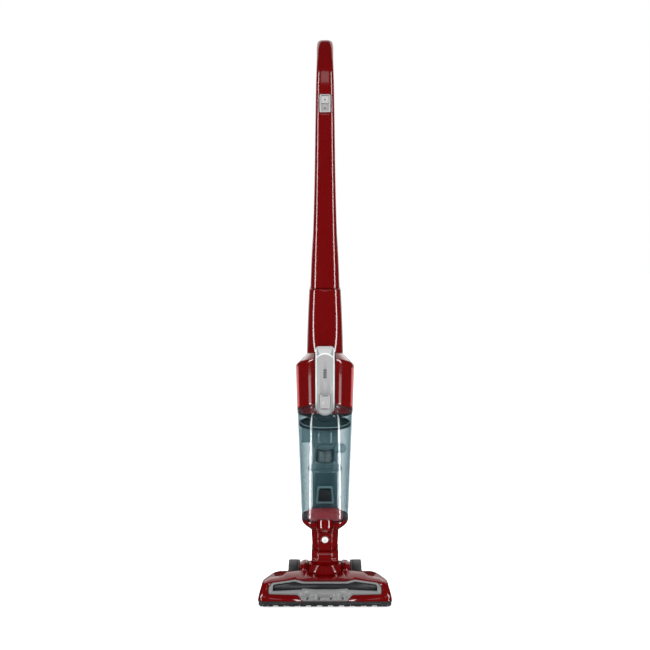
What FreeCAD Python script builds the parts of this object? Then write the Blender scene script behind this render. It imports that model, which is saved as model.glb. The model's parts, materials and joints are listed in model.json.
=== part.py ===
"""Cordless stick vacuum: floor head, swivel yoke, see-through dust bin, motor body and handle.

Millimetres. +Z up, -Y is the front, X is left to right. The origin is on the floor under
the middle of the standing machine.
"""
import FreeCAD, Part
import math
import os
from FreeCAD import Vector

# ---------------------------------------------------------------- driving dimensions
WALL = 2.4                  # moulded shell thickness
GAP = 0.3                   # clearance between pieces that move past each other

HEAD_HALF = 135.0           # floor head, half its width
HEAD_FRONT = -64.0
HEAD_REAR = 8.0
HEAD_SKIRT_Z = 13.0         # lower edge of the red cover
NOSE_Z = 17.0               # the front face starts to lean back here
BROW = (-35.0, 49.0)        # top of the leaning front face, as y and z
CREST = (-4.0, 52.3)        # highest line of the cover, as y and z
COVER_BACK_Z = 36.0         # the cover slopes down from the crest to this height
CROWN_R = 1100.0            # side-to-side arch of the cover's top
THROUGH_FRONT = (-80.0, -24.0)  # y range of the tools that cut through the front face
WINDOW_DEEP = (1.7, 2.9)    # the dark windows lie this far behind the cover's face
HEADLIGHT_X = (-35.2, -11.8, 11.8, 35.2)
HEADLIGHT_Z = 18.7
HEADLIGHT_R = 2.0
HEAD_SCREWS = ((-86.0, -8.0), (86.0, -8.0), (-48.0, 0.0), (48.0, 0.0))

BRUSH_Y = -36.0
BRUSH_Z = 16.5
BRUSH_TIP_R = 15.8
BRUSH_CORE_R = 9.0
BRUSH_SHAFT_R = 3.0
CHAMBER_R = 16.6
BRUSH_PULLEY_R = 8.0
MOTOR_PULLEY_R = 5.0
BRUSH_MOTOR_Y = -14.5
BRUSH_MOTOR_Z = 36.0
BRUSH_MOTOR_R = 9.0
BELT_X = 101.0
BELT_WIDTH = 5.0
BEARING_X = ((-122.0, -118.3), (97.2, 100.8))
BEARING_R = 5.0

PIVOT_Y = 14.0              # pitch hinge of the yoke
PIVOT_Z = 38.0
BARREL_R = 24.0
BARREL_HALF = 35.4
HUB_R = 26.0
HUB_IN = 36.0
HUB_MID = 45.0
HUB_OUT = 52.0
PIVOT_PIN_R = 6.0
PIVOT_PIN_IN = 29.0
PIVOT_PIN_OUT = 46.0
AXLE_IN = 40.0

WHEEL_R = 27.0
WHEEL_Y = 37.9
WHEEL_IN = 53.0
WHEEL_OUT = 77.0
WHEEL_PIN_R = 3.0
ROLLER_R = 5.0
ROLLER_Y = -57.5
ROLLER_Z = 5.2
ROLLER_X = 120.0
ROLLER_PIN_R = 1.5

SCREW_R = 1.5
SCREW_HEAD_R = 3.0

COLLAR_TOP = 100.0          # yoke collar
COLLAR_LOW = 72.0
SPIGOT_R = 21.0
DUCT_R = 16.0
NECK_TOP = 141.0
NECK_BUTTON_Z = 125.0
NECK_BUTTON_R = 6.2

SEAT_TOP = 166.6            # red bowl that the bin stands in
BIN_BASE = 167.2
BIN_PIVOT_Y = -38.5
BIN_PIVOT_Z = 153.0
BIN_PIN_R = 1.5
BIN_WALL = 2.2
FOOT_HALF = 14.2

SEAM_Z = 387.0              # slanted joint of bin and body, at y = 0
SEAM_SLOPE = math.tan(math.radians(25.0))
CREASE_Z = 479.0            # top edge of the drum, at y = 0
CREASE_SLOPE = 0.42
NECKLINE_Z = 503.0          # where the shoulders meet the upper body
NECKLINE_SLOPE = 0.25
BODY_TOP = 636.0

PANEL_HALF = 18.3
PANEL_LOW = 392.0
PANEL_TOP = 526.0
PANEL_BEND = 511.0
PANEL_FRONT = -60.0
BUTTON_HALF = 10.7
BUTTON_LOW = 404.0
BUTTON_TOP = 434.0
LAMP_HALF = 3.0
LAMP_LOW = 466.0
LAMP_COUNT = 4
LAMP_PITCH = 4.4

RING_Z = 363.0              # separator flange
RING_R = 50.0
CUP_R = 33.0
CORE_R = 26.0
SHROUD_R = 17.5
SHROUD_LOW = 270.0
SHROUD_TOP = 316.0
SKIRT_R = 35.0
FILTER_LOW = 322.0
FILTER_TOP = 357.6
FILTER_HOLE_R = 9.0
PLEATS = 20

SPINE_HALF = 26.0
INLET_HALF = 15.0
INLET_LOW = 184.0
INLET_TOP = 212.0
FLAP_AXIS_Z = 210.0

GRIP_POWER = 3.2            # squareness of the wand's section: 2 is an ellipse
HANDLE_BEND_Z = 1027.0      # the grip bends back above this height
HANDLE_BEND_R = 90.0
HANDLE_BEND_DEG = 45.0
HANDLE_TAIL = 22.0
SWITCH_LOW = 973.0
SWITCH_TOP = 1006.0
SWITCH_HALF = 10.4
SLIDER_HALF = 7.0
SLIDER_LOW = 989.6
SLIDER_TOP = 1002.8
SWITCH_FRONT = -17.0

JACK_Z = 598.0
JACK_R = 2.8
JACK_DEPTH = 9.0
JACK_MOUTH_Y = 33.9
JACK_HOUSING_R = 5.8

MOTOR_R = 23.0
FAN_R = 29.0
CELL_R = 9.1
CELL_LENGTH = 65.0
CELL_LOW = 500.0
BULKHEAD_Z = 419.0

NODES = {}


# ---------------------------------------------------------------- shape helpers
def box(x0, x1, y0, y1, z0, z1):
    return Part.makeBox(x1 - x0, y1 - y0, z1 - z0, Vector(x0, y0, z0))


def rod_x(x0, x1, y, z, r):
    return Part.makeCylinder(r, x1 - x0, Vector(x0, y, z), Vector(1, 0, 0))


def rod_y(y0, y1, x, z, r):
    return Part.makeCylinder(r, y1 - y0, Vector(x, y0, z), Vector(0, 1, 0))


def rod_z(z0, z1, r, x=0.0, y=0.0):
    return Part.makeCylinder(r, z1 - z0, Vector(x, y, z0), Vector(0, 0, 1))


def tube_z(z0, z1, r_out, r_in, x=0.0, y=0.0):
    return rod_z(z0, z1, r_out, x, y).cut(rod_z(z0 - 1, z1 + 1, r_in, x, y))


def tube_x(x0, x1, y, z, r_out, r_in):
    return rod_x(x0, x1, y, z, r_out).cut(rod_x(x0 - 1, x1 + 1, y, z, r_in))


def fuse(shapes):
    joined = shapes[0].multiFuse(shapes[1:])
    tidy = joined.removeSplitter()
    return joined if tidy.isNull() else tidy


def mirror_x(shape):
    return shape.mirror(Vector(0, 0, 0), Vector(1, 0, 0))


def both_sides(shape):
    return Part.Compound([shape, mirror_x(shape)])


def rounded_wire(points, radii, place):
    """A closed outline of straight runs with round corners; place maps (u, v) to a point."""
    count = len(points)
    corners = []
    for i, (px, py) in enumerate(points):
        before = points[i - 1]
        after = points[(i + 1) % count]
        ux, uy = before[0] - px, before[1] - py
        wx, wy = after[0] - px, after[1] - py
        lu, lw = math.hypot(ux, uy), math.hypot(wx, wy)
        ux, uy, wx, wy = ux / lu, uy / lu, wx / lw, wy / lw
        half = math.acos(max(-1.0, min(1.0, ux * wx + uy * wy))) / 2
        r = radii[i] if isinstance(radii, (list, tuple)) else radii
        if r <= 0 or half > math.pi / 2 - 0.001:
            corners.append([place(px, py)])
            continue
        run = r / math.tan(half)
        bx, by = ux + wx, uy + wy
        lb = math.hypot(bx, by)
        reach = r / math.sin(half)
        mid = (px + bx / lb * (reach - r), py + by / lb * (reach - r))
        corners.append([place(px + ux * run, py + uy * run), place(*mid),
                        place(px + wx * run, py + wy * run)])
    edges = []
    for i, corner in enumerate(corners):
        if len(corner) == 3:
            edges.append(Part.Arc(*corner).toShape())
        start, end = corner[-1], corners[(i + 1) % count][0]
        if start.distanceToPoint(end) > 1e-4:
            edges.append(Part.LineSegment(start, end).toShape())
    return Part.Wire(edges)


def prism_front(points, radii, y0, y1):
    """An outline in x and z, carried from y0 to y1."""
    wire = rounded_wire(points, radii, lambda u, v: Vector(u, y0, v))
    return Part.Face(wire).extrude(Vector(0, y1 - y0, 0))


def prism_side(points, radii, x0, x1):
    """An outline in y and z, carried from x0 to x1."""
    wire = rounded_wire(points, radii, lambda u, v: Vector(x0, u, v))
    return Part.Face(wire).extrude(Vector(x1 - x0, 0, 0))


def plan_wire(points, radii, z):
    return rounded_wire(points, radii, lambda u, v: Vector(u, v, z))


def offset_outline(points, d):
    """Moves every side of an anticlockwise outline inwards by d."""
    count = len(points)
    lines = []
    for i in range(count):
        (x0, y0), (x1, y1) = points[i], points[(i + 1) % count]
        length = math.hypot(x1 - x0, y1 - y0)
        nx, ny = -(y1 - y0) / length, (x1 - x0) / length
        lines.append((nx, ny, nx * x0 + ny * y0 + d))
    moved = []
    for i in range(count):
        a1, b1, c1 = lines[i - 1]
        a2, b2, c2 = lines[i]
        det = a1 * b2 - a2 * b1
        moved.append(((c1 * b2 - c2 * b1) / det, (a1 * c2 - a2 * c1) / det))
    return moved


def oval_wire(a, front, rear, z, slope=0.0, power_front=2.0, power_rear=2.0, y_mid=0.0, count=28):
    """A smooth closed section: half-width a, depths front and rear, on a plane that falls
    towards the rear by slope."""
    points = []
    for i in range(count):
        t = 2 * math.pi * i / count
        c, s = math.cos(t), math.sin(t)
        power = power_rear if s > 0 else power_front
        depth = rear if s > 0 else front
        x = a * math.copysign(abs(c) ** (2 / power), c)
        y = y_mid + depth * math.copysign(abs(s) ** (2 / power), s)
        points.append(Vector(x, y, z - slope * (y - y_mid)))
    curve = Part.BSplineCurve()
    curve.interpolate(points, PeriodicFlag=True)
    return Part.Wire([curve.toShape()])


def loft(wires, ruled=False):
    solid = Part.makeLoft(wires, True, ruled)
    if solid.Volume < 0:
        solid.reverse()
    return solid


def slant_block(z_mid, slope, above):
    """Everything above, or below, the plane z = z_mid - slope * y."""
    reach, tall = 150.0, 500.0
    far = tall if above else -tall
    points = [(-reach, z_mid + slope * reach), (reach, z_mid - slope * reach),
              (reach, z_mid - slope * reach + far), (-reach, z_mid + slope * reach + far)]
    return prism_side(points, 0, -reach, reach)


def belt_prism(x0, x1, y1, z1, r1, y2, z2, r2):
    """The space inside a belt that runs round two pulleys."""
    span = math.hypot(y2 - y1, z2 - z1)
    heading = math.atan2(z2 - z1, y2 - y1)
    lean = math.acos((r1 - r2) / span)
    sides = []
    for turn in (lean, -lean):
        ny, nz = math.cos(heading + turn), math.sin(heading + turn)
        sides.append(((y1 + ny * r1, z1 + nz * r1), (y2 + ny * r2, z2 + nz * r2)))
    quad = [sides[0][0], sides[0][1], sides[1][1], sides[1][0]]
    strip = prism_side(quad, 0, x0, x1)
    return fuse([strip, rod_x(x0, x1, y1, z1, r1), rod_x(x0, x1, y2, z2, r2)])


# ---------------------------------------------------------------- floor head
def head_plan(d, z, half=HEAD_HALF):
    k = half / HEAD_HALF
    points = [(-135.0 * k, HEAD_FRONT), (135.0 * k, HEAD_FRONT), (135.0 * k, -30.0),
              (114.0 * k, -4.0), (56.0 * k, HEAD_REAR), (-56.0 * k, HEAD_REAR),
              (-114.0 * k, -4.0), (-135.0 * k, -30.0)]
    corner = max(2.0, 12.0 - d)
    radii = [corner, corner, corner, 24.0, 20.0, 20.0, 24.0, corner]
    return plan_wire(offset_outline(points, d), radii, z)


def head_envelope(d, bottom):
    """The cover's outer form, moved inwards by d and closed at bottom."""
    top_half = 121.0
    ends = loft([head_plan(d, 0.0, HEAD_HALF + 3.4), head_plan(d, 62.0, top_half)], True)
    profile = [(HEAD_FRONT - 0.01, bottom), (HEAD_REAR + 4, bottom),
               (HEAD_REAR + 4, COVER_BACK_Z), CREST, BROW, (HEAD_FRONT, NOSE_Z)]
    shifted = offset_outline(profile, d)
    flat = [(u, bottom if v < bottom + d + 0.01 else v) for u, v in shifted]
    side = prism_side(flat, [0, 0, 0, 20.0, 9.0 - d, 3.0], -140.0, 140.0)
    along = Vector(0, CREST[0] - BROW[0], CREST[1] - BROW[1]).normalize()
    middle = Vector(0, CREST[0], CREST[1]) + Vector(0, along.z, -along.y) * CROWN_R
    arch = Part.makeCylinder(CROWN_R - d, 300.0, middle - along * 150.0, along)
    return side.common(ends).common(arch)


def fascia_outline(grow):
    half = [(44.0, 14.2), (53.0, 23.5), (57.0, 24.5), (113.0, 25.5), (113.0, 36.5),
            (106.0, 41.8), (60.0, 46.6), (42.0, 43.5)]
    left = [(-x, z) for x, z in reversed(half)]
    return offset_outline(half + left, -grow)


def fascia_prism(grow):
    """The fascia's outline, grown by grow, as a block that reaches through the cover."""
    half = [0.5, 6.0, 4.0, 3.0, 6.0, 5.0, 5.0, 4.0]
    return prism_front(fascia_outline(grow), half + half[::-1], *THROUGH_FRONT)


def make_head_cover():
    outer = head_envelope(0.0, HEAD_SKIRT_Z)
    hollow = head_envelope(WALL, HEAD_SKIRT_Z - 4)
    hub_side = [rod_x(HUB_IN, HUB_MID, PIVOT_Y, PIVOT_Z, HUB_R),
                Part.makeCone(HUB_R, HUB_R - 5.0, HUB_OUT - HUB_MID,
                              Vector(HUB_MID, PIVOT_Y, PIVOT_Z), Vector(1, 0, 0)),
                rod_x(HUB_IN + 2, HUB_OUT, WHEEL_Y, WHEEL_R, 8.0)]
    hub_right = fuse(hub_side).cut(rod_x(HUB_IN + WALL, HUB_MID, PIVOT_Y, PIVOT_Z, HUB_R - 9.0))
    opening = loft([oval_wire(37.0, 27.0, 27.0, 40.0), oval_wire(37.0, 27.0, 27.0, 70.0)], True)
    barrel_space = rod_x(-HUB_IN, HUB_IN, PIVOT_Y, PIVOT_Z, BARREL_R + 0.8)
    rear_space = box(-HUB_IN, HUB_IN, 0.0, 60.0, 0.0, 70.0)
    cover = outer.cut(hollow)
    cover = fuse([cover, hub_right, mirror_x(hub_right)])
    cover = cover.cut(opening).cut(barrel_space).cut(rear_space)
    for side in (-1, 1):
        x0, x1 = sorted((side * (HUB_IN - 1), side * PIVOT_PIN_OUT))
        cover = cover.cut(rod_x(x0, x1, PIVOT_Y, PIVOT_Z, PIVOT_PIN_R))
        x0, x1 = sorted((side * AXLE_IN, side * (HUB_OUT + 1)))
        cover = cover.cut(rod_x(x0, x1, WHEEL_Y, WHEEL_R, WHEEL_PIN_R))
    window_hole = fascia_prism(-1.2)
    cover = cover.cut(window_hole.cut(head_envelope(WALL + 3.0, 0.0)))
    NODES["head_cover"] = cover


def make_fascia():
    """Grey front plate with two dark windows, a dark band and four lamps."""
    skin = head_envelope(-0.9, 10.0).cut(head_envelope(1.5, 5.0))
    plate = skin.common(fascia_prism(0.0))
    NODES["head_cover"] = NODES["head_cover"].cut(plate)
    cutouts = []
    for side in (-1, 1):
        wing = [(side * 46.0, 31.5), (side * 105.0, 29.6), (side * 105.0, 37.8),
                (side * 101.0, 39.8), (side * 61.0, 44.0), (side * 46.0, 41.0)]
        cutouts.append(prism_front(wing, 1.5, *THROUGH_FRONT))
    middle = [(-47.0, 33.4), (-20.0, 32.0), (20.0, 32.0), (47.0, 33.4), (47.0, 41.0),
              (-47.0, 41.0)]
    cutouts.append(prism_front(middle, 0.0, *THROUGH_FRONT))
    for x in HEADLIGHT_X:
        cutouts.append(rod_y(-80.0, -50.0, x, HEADLIGHT_Z, HEADLIGHT_R + 0.2))
    for cutout in cutouts:
        plate = plate.cut(cutout)
    NODES["head_fascia"] = plate
    window = head_envelope(WINDOW_DEEP[0], 5.0).cut(head_envelope(WINDOW_DEEP[1], 4.0))
    window = window.common(box(-108.0, 108.0, -80.0, -30.0, 28.5, 46.0))
    NODES["head_window"] = window.common(fascia_prism(-1.6))
    lens_skin = head_envelope(-0.4, 10.0).cut(head_envelope(2.0, 5.0))
    lenses = []
    for x in HEADLIGHT_X:
        lenses.append(lens_skin.common(rod_y(-80.0, -50.0, x, HEADLIGHT_Z, HEADLIGHT_R)))
    NODES["headlight_lenses"] = Part.Compound(lenses)
    NODES["headlight_board"] = box(-42.0, 42.0, -57.2, -56.0, 13.6, 20.6)


def make_head_base():
    """Sole plate with the brush chamber, the suction duct and the front notches."""
    tray_low = 2.2
    tray_top = 12.6
    tray = Part.Face(head_plan(1.5, tray_low)).extrude(Vector(0, 0, 9.2 - tray_low))
    rim = Part.Face(head_plan(3.4, 9.2)).extrude(Vector(0, 0, tray_top - 9.2))
    inside = Part.Face(head_plan(6.2, tray_low + 2.6)).extrude(Vector(0, 0, 20))
    tray = fuse([tray, rim]).cut(inside)
    left_end, right_end = -118.0, 99.0
    housing = rod_x(left_end - 2, right_end + 2, BRUSH_Y, BRUSH_Z, CHAMBER_R + 2.0)
    housing = housing.cut(box(-130, 130, -80, 20, -20, tray_low))
    hollow = rod_x(left_end, right_end, BRUSH_Y, BRUSH_Z, CHAMBER_R)
    mouth = box(left_end + 4, right_end - 4, BRUSH_Y - 13.0, BRUSH_Y + 13.0, -5.0, 8.0)
    duct = box(-23.0, 23.0, BRUSH_Y + 12.0, PIVOT_Y - 12.0, 17.0, 34.0)
    duct_space = box(-21.0, 21.0, BRUSH_Y + 8.0, PIVOT_Y, 19.0, 32.0)
    base = fuse([tray, housing, duct])
    base = base.cut(hollow).cut(mouth).cut(duct_space)
    base = base.cut(rod_x(-HUB_IN, HUB_IN, PIVOT_Y, PIVOT_Z, BARREL_R + 0.5))
    base = base.common(fuse([head_envelope(WINDOW_DEEP[1] + 0.2, 12.5),
                             box(-140, 140, -80, 40, 0, 12.8)]))
    notch_count = 10
    notch_pitch = 22.0
    for i in range(notch_count):
        x = (i - (notch_count - 1) / 2) * notch_pitch
        base = base.cut(box(x - 5.0, x + 5.0, -70.0, -57.6, 0.0, 6.4))
    for side in (-1, 1):
        x0, x1 = sorted((side * (ROLLER_X - 6.0), side * (ROLLER_X + 6.0)))
        base = base.cut(box(x0, x1, -70.0, ROLLER_Y + 6.5, 0.0, 11.0))
    base = base.cut(rod_x(-125.0, 125.0, BRUSH_Y, BRUSH_Z, BRUSH_SHAFT_R + 2.0))
    for x, y in HEAD_SCREWS:
        base = base.cut(rod_z(0, 12, SCREW_R, x, y))
    for x0, x1 in BEARING_X:
        base = base.cut(rod_x(x0, x1, BRUSH_Y, BRUSH_Z, BEARING_R))
    base = base.cut(both_sides(roller_pin()))
    NODES["head_base"] = base


def make_sole_trim():
    """Rubber bumper strip round the front, four felt glides and the sole screws."""
    bumper = Part.Face(head_plan(0.3, 9.6)).extrude(Vector(0, 0, 3.1))
    bumper = bumper.cut(Part.Face(head_plan(3.3, 9.0)).extrude(Vector(0, 0, 5)))
    NODES["front_bumper"] = bumper.common(box(-140, 140, -80, -14, 0, 20))

    glides = []
    for side in (-1, 1):
        for x, y0, y1 in ((66.0, -57.2, -50.0), (96.0, -19.0, -12.0)):
            x0, x1 = sorted((side * (x - 14.0), side * (x + 14.0)))
            glides.append(box(x0, x1, y0, y1, 0.0, 2.2))
    NODES["sole_glides"] = Part.Compound(glides)
    screws = []
    for x, y in HEAD_SCREWS:
        screws.append(rod_z(1.2, 2.2, SCREW_HEAD_R, x, y).fuse(rod_z(2.2, 10.0, SCREW_R, x, y)))
    NODES["head_screws"] = Part.Compound(screws)


def roller_pin():
    return rod_x(ROLLER_X - 7.0, ROLLER_X + 7.0, ROLLER_Y, ROLLER_Z, ROLLER_PIN_R)


def make_head_pins():
    """Pivot pins of the yoke, stub axles of the wheels and pins of the front rollers."""
    pivot = rod_x(PIVOT_PIN_IN, PIVOT_PIN_OUT, PIVOT_Y, PIVOT_Z, PIVOT_PIN_R)
    axle = rod_x(AXLE_IN, WHEEL_OUT + 1.6, WHEEL_Y, WHEEL_R, WHEEL_PIN_R)
    cap = rod_x(WHEEL_OUT + 0.4, WHEEL_OUT + 2.2, WHEEL_Y, WHEEL_R, 5.0)
    pins = []
    for pin in (pivot, fuse([axle, cap]), roller_pin()):
        pins.extend(both_sides(pin).Solids)
    NODES["head_pins"] = Part.Compound(pins)


def make_brush():
    core = rod_x(-112.0, 96.0, BRUSH_Y, BRUSH_Z, BRUSH_CORE_R)
    shaft = rod_x(-122.5, BELT_X + BELT_WIDTH + 1.0, BRUSH_Y, BRUSH_Z, BRUSH_SHAFT_R)
    pulley = rod_x(BELT_X, BELT_X + BELT_WIDTH, BRUSH_Y, BRUSH_Z, BRUSH_PULLEY_R - 0.8)
    NODES["brush_core"] = fuse([core, shaft, pulley])
    tufts = []
    tuft_count = 22
    rows = 2
    first, last = -108.0, 92.0
    for row in range(rows):
        for i in range(tuft_count):
            x = first + (last - first) * i / (tuft_count - 1)
            turn = 2 * math.pi * (row / rows + 0.75 * i / (tuft_count - 1))
            aim = Vector(0, math.cos(turn), math.sin(turn))
            root = Vector(x, BRUSH_Y, BRUSH_Z) + aim * (BRUSH_CORE_R - 0.6)
            length = BRUSH_TIP_R - BRUSH_CORE_R + 0.5
            tufts.append(Part.makeCylinder(1.9, length, root, aim))
    NODES["brush_bristles"] = Part.Compound([t.cut(core) for t in tufts])
    bearings = []
    for x0, x1 in BEARING_X:
        bearings.append(tube_x(x0, x1, BRUSH_Y, BRUSH_Z, BEARING_R, BRUSH_SHAFT_R + 0.05))
    NODES["brush_bearings"] = Part.Compound(bearings)


def make_brush_drive():
    """Brush motor with its pulley, and the belt that turns the brush."""
    motor_end = 84.0
    can = rod_x(56.0, motor_end, BRUSH_MOTOR_Y, BRUSH_MOTOR_Z, BRUSH_MOTOR_R)
    nose = rod_x(motor_end, motor_end + 3.0, BRUSH_MOTOR_Y, BRUSH_MOTOR_Z, 4.0)
    shaft_hole = rod_x(motor_end - 4.0, motor_end + 4.0, BRUSH_MOTOR_Y, BRUSH_MOTOR_Z, 1.56)
    NODES["brush_motor"] = fuse([can, nose]).cut(shaft_hole)
    wheel = rod_x(BELT_X, BELT_X + BELT_WIDTH, BRUSH_MOTOR_Y, BRUSH_MOTOR_Z,
                  MOTOR_PULLEY_R - 0.8)
    spindle = rod_x(motor_end - 3.5, BELT_X, BRUSH_MOTOR_Y, BRUSH_MOTOR_Z, 1.5)
    NODES["motor_pulley"] = fuse([wheel, spindle])
    loop = belt_prism(BELT_X + 0.2, BELT_X + BELT_WIDTH - 0.2, BRUSH_Y, BRUSH_Z,
                      BRUSH_PULLEY_R + 0.7, BRUSH_MOTOR_Y, BRUSH_MOTOR_Z, MOTOR_PULLEY_R + 0.7)
    inner = belt_prism(BELT_X, BELT_X + BELT_WIDTH, BRUSH_Y, BRUSH_Z,
                       BRUSH_PULLEY_R - 0.5, BRUSH_MOTOR_Y, BRUSH_MOTOR_Z, MOTOR_PULLEY_R - 0.5)
    NODES["drive_belt"] = loop.cut(inner)


def make_wheels():
    for side, name in ((-1, "left"), (1, "right")):
        hub = tube_x(WHEEL_IN, WHEEL_OUT, WHEEL_Y, WHEEL_R, WHEEL_R - 4.0, WHEEL_PIN_R + 0.08)
        dish = tube_x(WHEEL_OUT - 4.0, WHEEL_OUT + 1, WHEEL_Y, WHEEL_R, WHEEL_R - 8.0, 8.0)
        groove = tube_x(WHEEL_IN + 3.4, WHEEL_IN + 4.4, WHEEL_Y, WHEEL_R, WHEEL_R + 1,
                        WHEEL_R - 1.2)
        tyre = tube_x(WHEEL_IN, WHEEL_OUT, WHEEL_Y, WHEEL_R, WHEEL_R, WHEEL_R - 4.0)
        outer_edges = []
        for edge in tyre.Edges:
            if hasattr(edge.Curve, "Radius") and abs(edge.Curve.Radius - WHEEL_R) < 0.01:
                outer_edges.append(edge)
        tyre = tyre.makeFillet(2.6, outer_edges)
        wheel = fuse([hub, tyre]).cut(dish).cut(groove)
        roller = tube_x(ROLLER_X - 5.0, ROLLER_X + 5.0, ROLLER_Y, ROLLER_Z, ROLLER_R,
                        ROLLER_PIN_R + 0.05)
        if side < 0:
            wheel, roller = mirror_x(wheel), mirror_x(roller)
        NODES["wheel_" + name] = wheel
        NODES["front_roller_" + name] = roller


# ---------------------------------------------------------------- yoke and neck
def eight_sided(a, b, facet, z, r=3.0):
    """Neck section: flat front and back facets, flat sides, broken corners."""
    cut_in = 0.42 * b
    points = [(-facet, -b), (facet, -b), (a, -b + cut_in), (a, b - cut_in),
              (facet, b), (-facet, b), (-a, b - cut_in), (-a, -b + cut_in)]
    return plan_wire(points, r, z)


def make_yoke():
    barrel = rod_x(-BARREL_HALF, BARREL_HALF, PIVOT_Y, PIVOT_Z, BARREL_R)
    skirt = loft([oval_wire(35.0, 25.0, 25.0, 47.0), oval_wire(34.0, 25.4, 25.4, 56.0),
                  oval_wire(29.0, 24.6, 24.6, 66.0), oval_wire(27.0, 23.8, 23.8, 74.0)])
    collar = loft([eight_sided(27.8, 24.2, 13.5, 70.0), eight_sided(27.4, 24.0, 13.5, COLLAR_TOP)],
                  True)
    yoke = fuse([barrel, skirt, collar])
    yoke = yoke.cut(rod_z(COLLAR_LOW + 5.0, COLLAR_TOP + 1, SPIGOT_R + 0.3))
    yoke = yoke.cut(rod_z(PIVOT_Z + 4.0, COLLAR_TOP + 1, DUCT_R))
    yoke = yoke.cut(rod_x(-29.0, 29.0, PIVOT_Y, PIVOT_Z, BARREL_R - 3.6))
    yoke = yoke.cut(box(-20.0, 20.0, -15.0, 4.0, 20.0, 31.0))
    yoke = yoke.cut(rod_x(-BARREL_HALF - 1, BARREL_HALF + 1, PIVOT_Y, PIVOT_Z,
                          PIVOT_PIN_R + 0.08))
    NODES["pivot_yoke"] = yoke


def make_neck():
    neck = loft([eight_sided(25.4, 22.4, 13.0, COLLAR_TOP + 0.6),
                 eight_sided(27.6, 24.4, 14.0, NECK_TOP)], True)
    spigot = rod_z(COLLAR_LOW + 8.0, COLLAR_TOP + 1, SPIGOT_R)
    neck = fuse([neck, spigot]).cut(rod_z(60.0, 160.0, DUCT_R))
    neck = neck.cut(rod_y(-40.0, -17.0, 0.0, NECK_BUTTON_Z, NECK_BUTTON_R + GAP))
    NODES["neck_tube"] = neck
    NODES["nozzle_release_button"] = rod_y(-24.4, -19.8, 0.0, NECK_BUTTON_Z, NECK_BUTTON_R)


# ---------------------------------------------------------------- dust bin
def bin_section(z, inset):
    """Bin outline at height z: nearly round at the top, flatter in front at the bottom."""
    t = (z - BIN_BASE) / (SEAM_Z - BIN_BASE)
    a = 48.0 + 7.9 * t - inset
    front = 41.0 + 14.8 * t - inset
    rear = 39.5 + 15.0 * t - inset
    power = 2.6 - 0.55 * min(t, 1.0)
    return oval_wire(a, front, rear, z, 0.0, power, power)


def bin_form(inset, low, high=470.0):
    stations = 5
    heights = [low + (high - low) * i / (stations - 1) for i in range(stations)]
    return loft([bin_section(z, inset) for z in heights])


def spine_block(half, y_front, y_back, z0, z1):
    """A tapering upright block behind the bin; y_front and y_back are set off from the
    bin's rear wall and from the spine's back."""
    near, far = [], []
    for z in (z0, z1):
        t = (z - BIN_BASE) / (SEAM_Z - BIN_BASE)
        near.append((39.5 + 15.0 * t + y_front, z))
        far.append((60.0 + 3.0 * t + y_back, z))
    return prism_side([near[0], far[0], far[1], near[1]], 0, -half, half)


def inlet_form():
    """The dirty-air opening through the rear wall of the bin."""
    return prism_front([(-INLET_HALF, INLET_LOW), (INLET_HALF, INLET_LOW),
                        (INLET_HALF - 3, INLET_TOP), (-INLET_HALF + 3, INLET_TOP)], 2.0,
                       20.0, 70.0)


def make_bin_shell():
    outer = bin_form(0.0, BIN_BASE)
    inner = bin_form(BIN_WALL, BIN_BASE + 2.0)
    boss = prism_front([(-20.2, 380.0), (20.2, 380.0), (20.2, 440.0), (-20.2, 440.0)],
                       [19.0, 19.0, 0, 0], -62.0, -47.0)
    pocket = prism_front([(-18.8, 391.4), (18.8, 391.4), (18.8, 450.0), (-18.8, 450.0)],
                         [18.4, 18.4, 0, 0], -70.0, -20.0)
    shell = fuse([outer.cut(inner), boss.cut(inner)])
    shell = shell.cut(pocket)
    shell = shell.common(slant_block(SEAM_Z - 0.5, SEAM_SLOPE, False))
    notch = prism_front([(-FOOT_HALF - 0.3, 160.0), (FOOT_HALF + 0.3, 160.0),
                         (FOOT_HALF + 0.3, 174.9), (-FOOT_HALF - 0.3, 174.9)], 0, -60.0, -38.6)
    shell = shell.cut(notch)
    NODES["bin_shell"] = shell.cut(inlet_form())


def make_bin_foot():
    """Hooked foot that carries the bin on its hinge pin."""
    foot = prism_side([(-43.6, 157.0), (-38.5, 148.4), (-33.9, 153.0), (-33.9, 166.9),
                       (-38.8, 166.9), (-38.8, 174.6), (-42.6, 174.6)],
                      [6.0, 3.5, 4.0, 0, 0, 0, 1.5], -FOOT_HALF, FOOT_HALF)
    foot = foot.cut(rod_x(-30, 30, BIN_PIVOT_Y, BIN_PIVOT_Z, BIN_PIN_R + 0.06))
    NODES["bin_foot"] = foot


def make_inlet():
    """Frame round the air inlet and the flap that keeps the dust in."""
    frame = prism_front([(-INLET_HALF - 4, INLET_LOW - 4), (INLET_HALF + 4, INLET_LOW - 4),
                         (INLET_HALF + 1, INLET_TOP + 5), (-INLET_HALF - 1, INLET_TOP + 5)],
                        3.0, 20.0, 60.0)
    frame = frame.common(bin_form(BIN_WALL + 0.05, BIN_BASE).cut(bin_form(BIN_WALL + 3.5,
                                                                          BIN_BASE)))
    NODES["inlet_frame"] = frame.cut(inlet_form())
    flap_y = 33.4
    bead_r = 0.6
    flap = prism_front([(-INLET_HALF + 0.5, INLET_LOW + 1), (INLET_HALF - 0.5, INLET_LOW + 1),
                        (INLET_HALF - 2.6, INLET_TOP - 2), (-INLET_HALF + 2.6, INLET_TOP - 2)],
                       2.0, flap_y, flap_y + 1.2)
    bead = rod_x(-INLET_HALF + 3.0, INLET_HALF - 3.0, flap_y + bead_r, FLAP_AXIS_Z, bead_r)
    NODES["inlet_flap"] = flap.fuse(bead)


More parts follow.
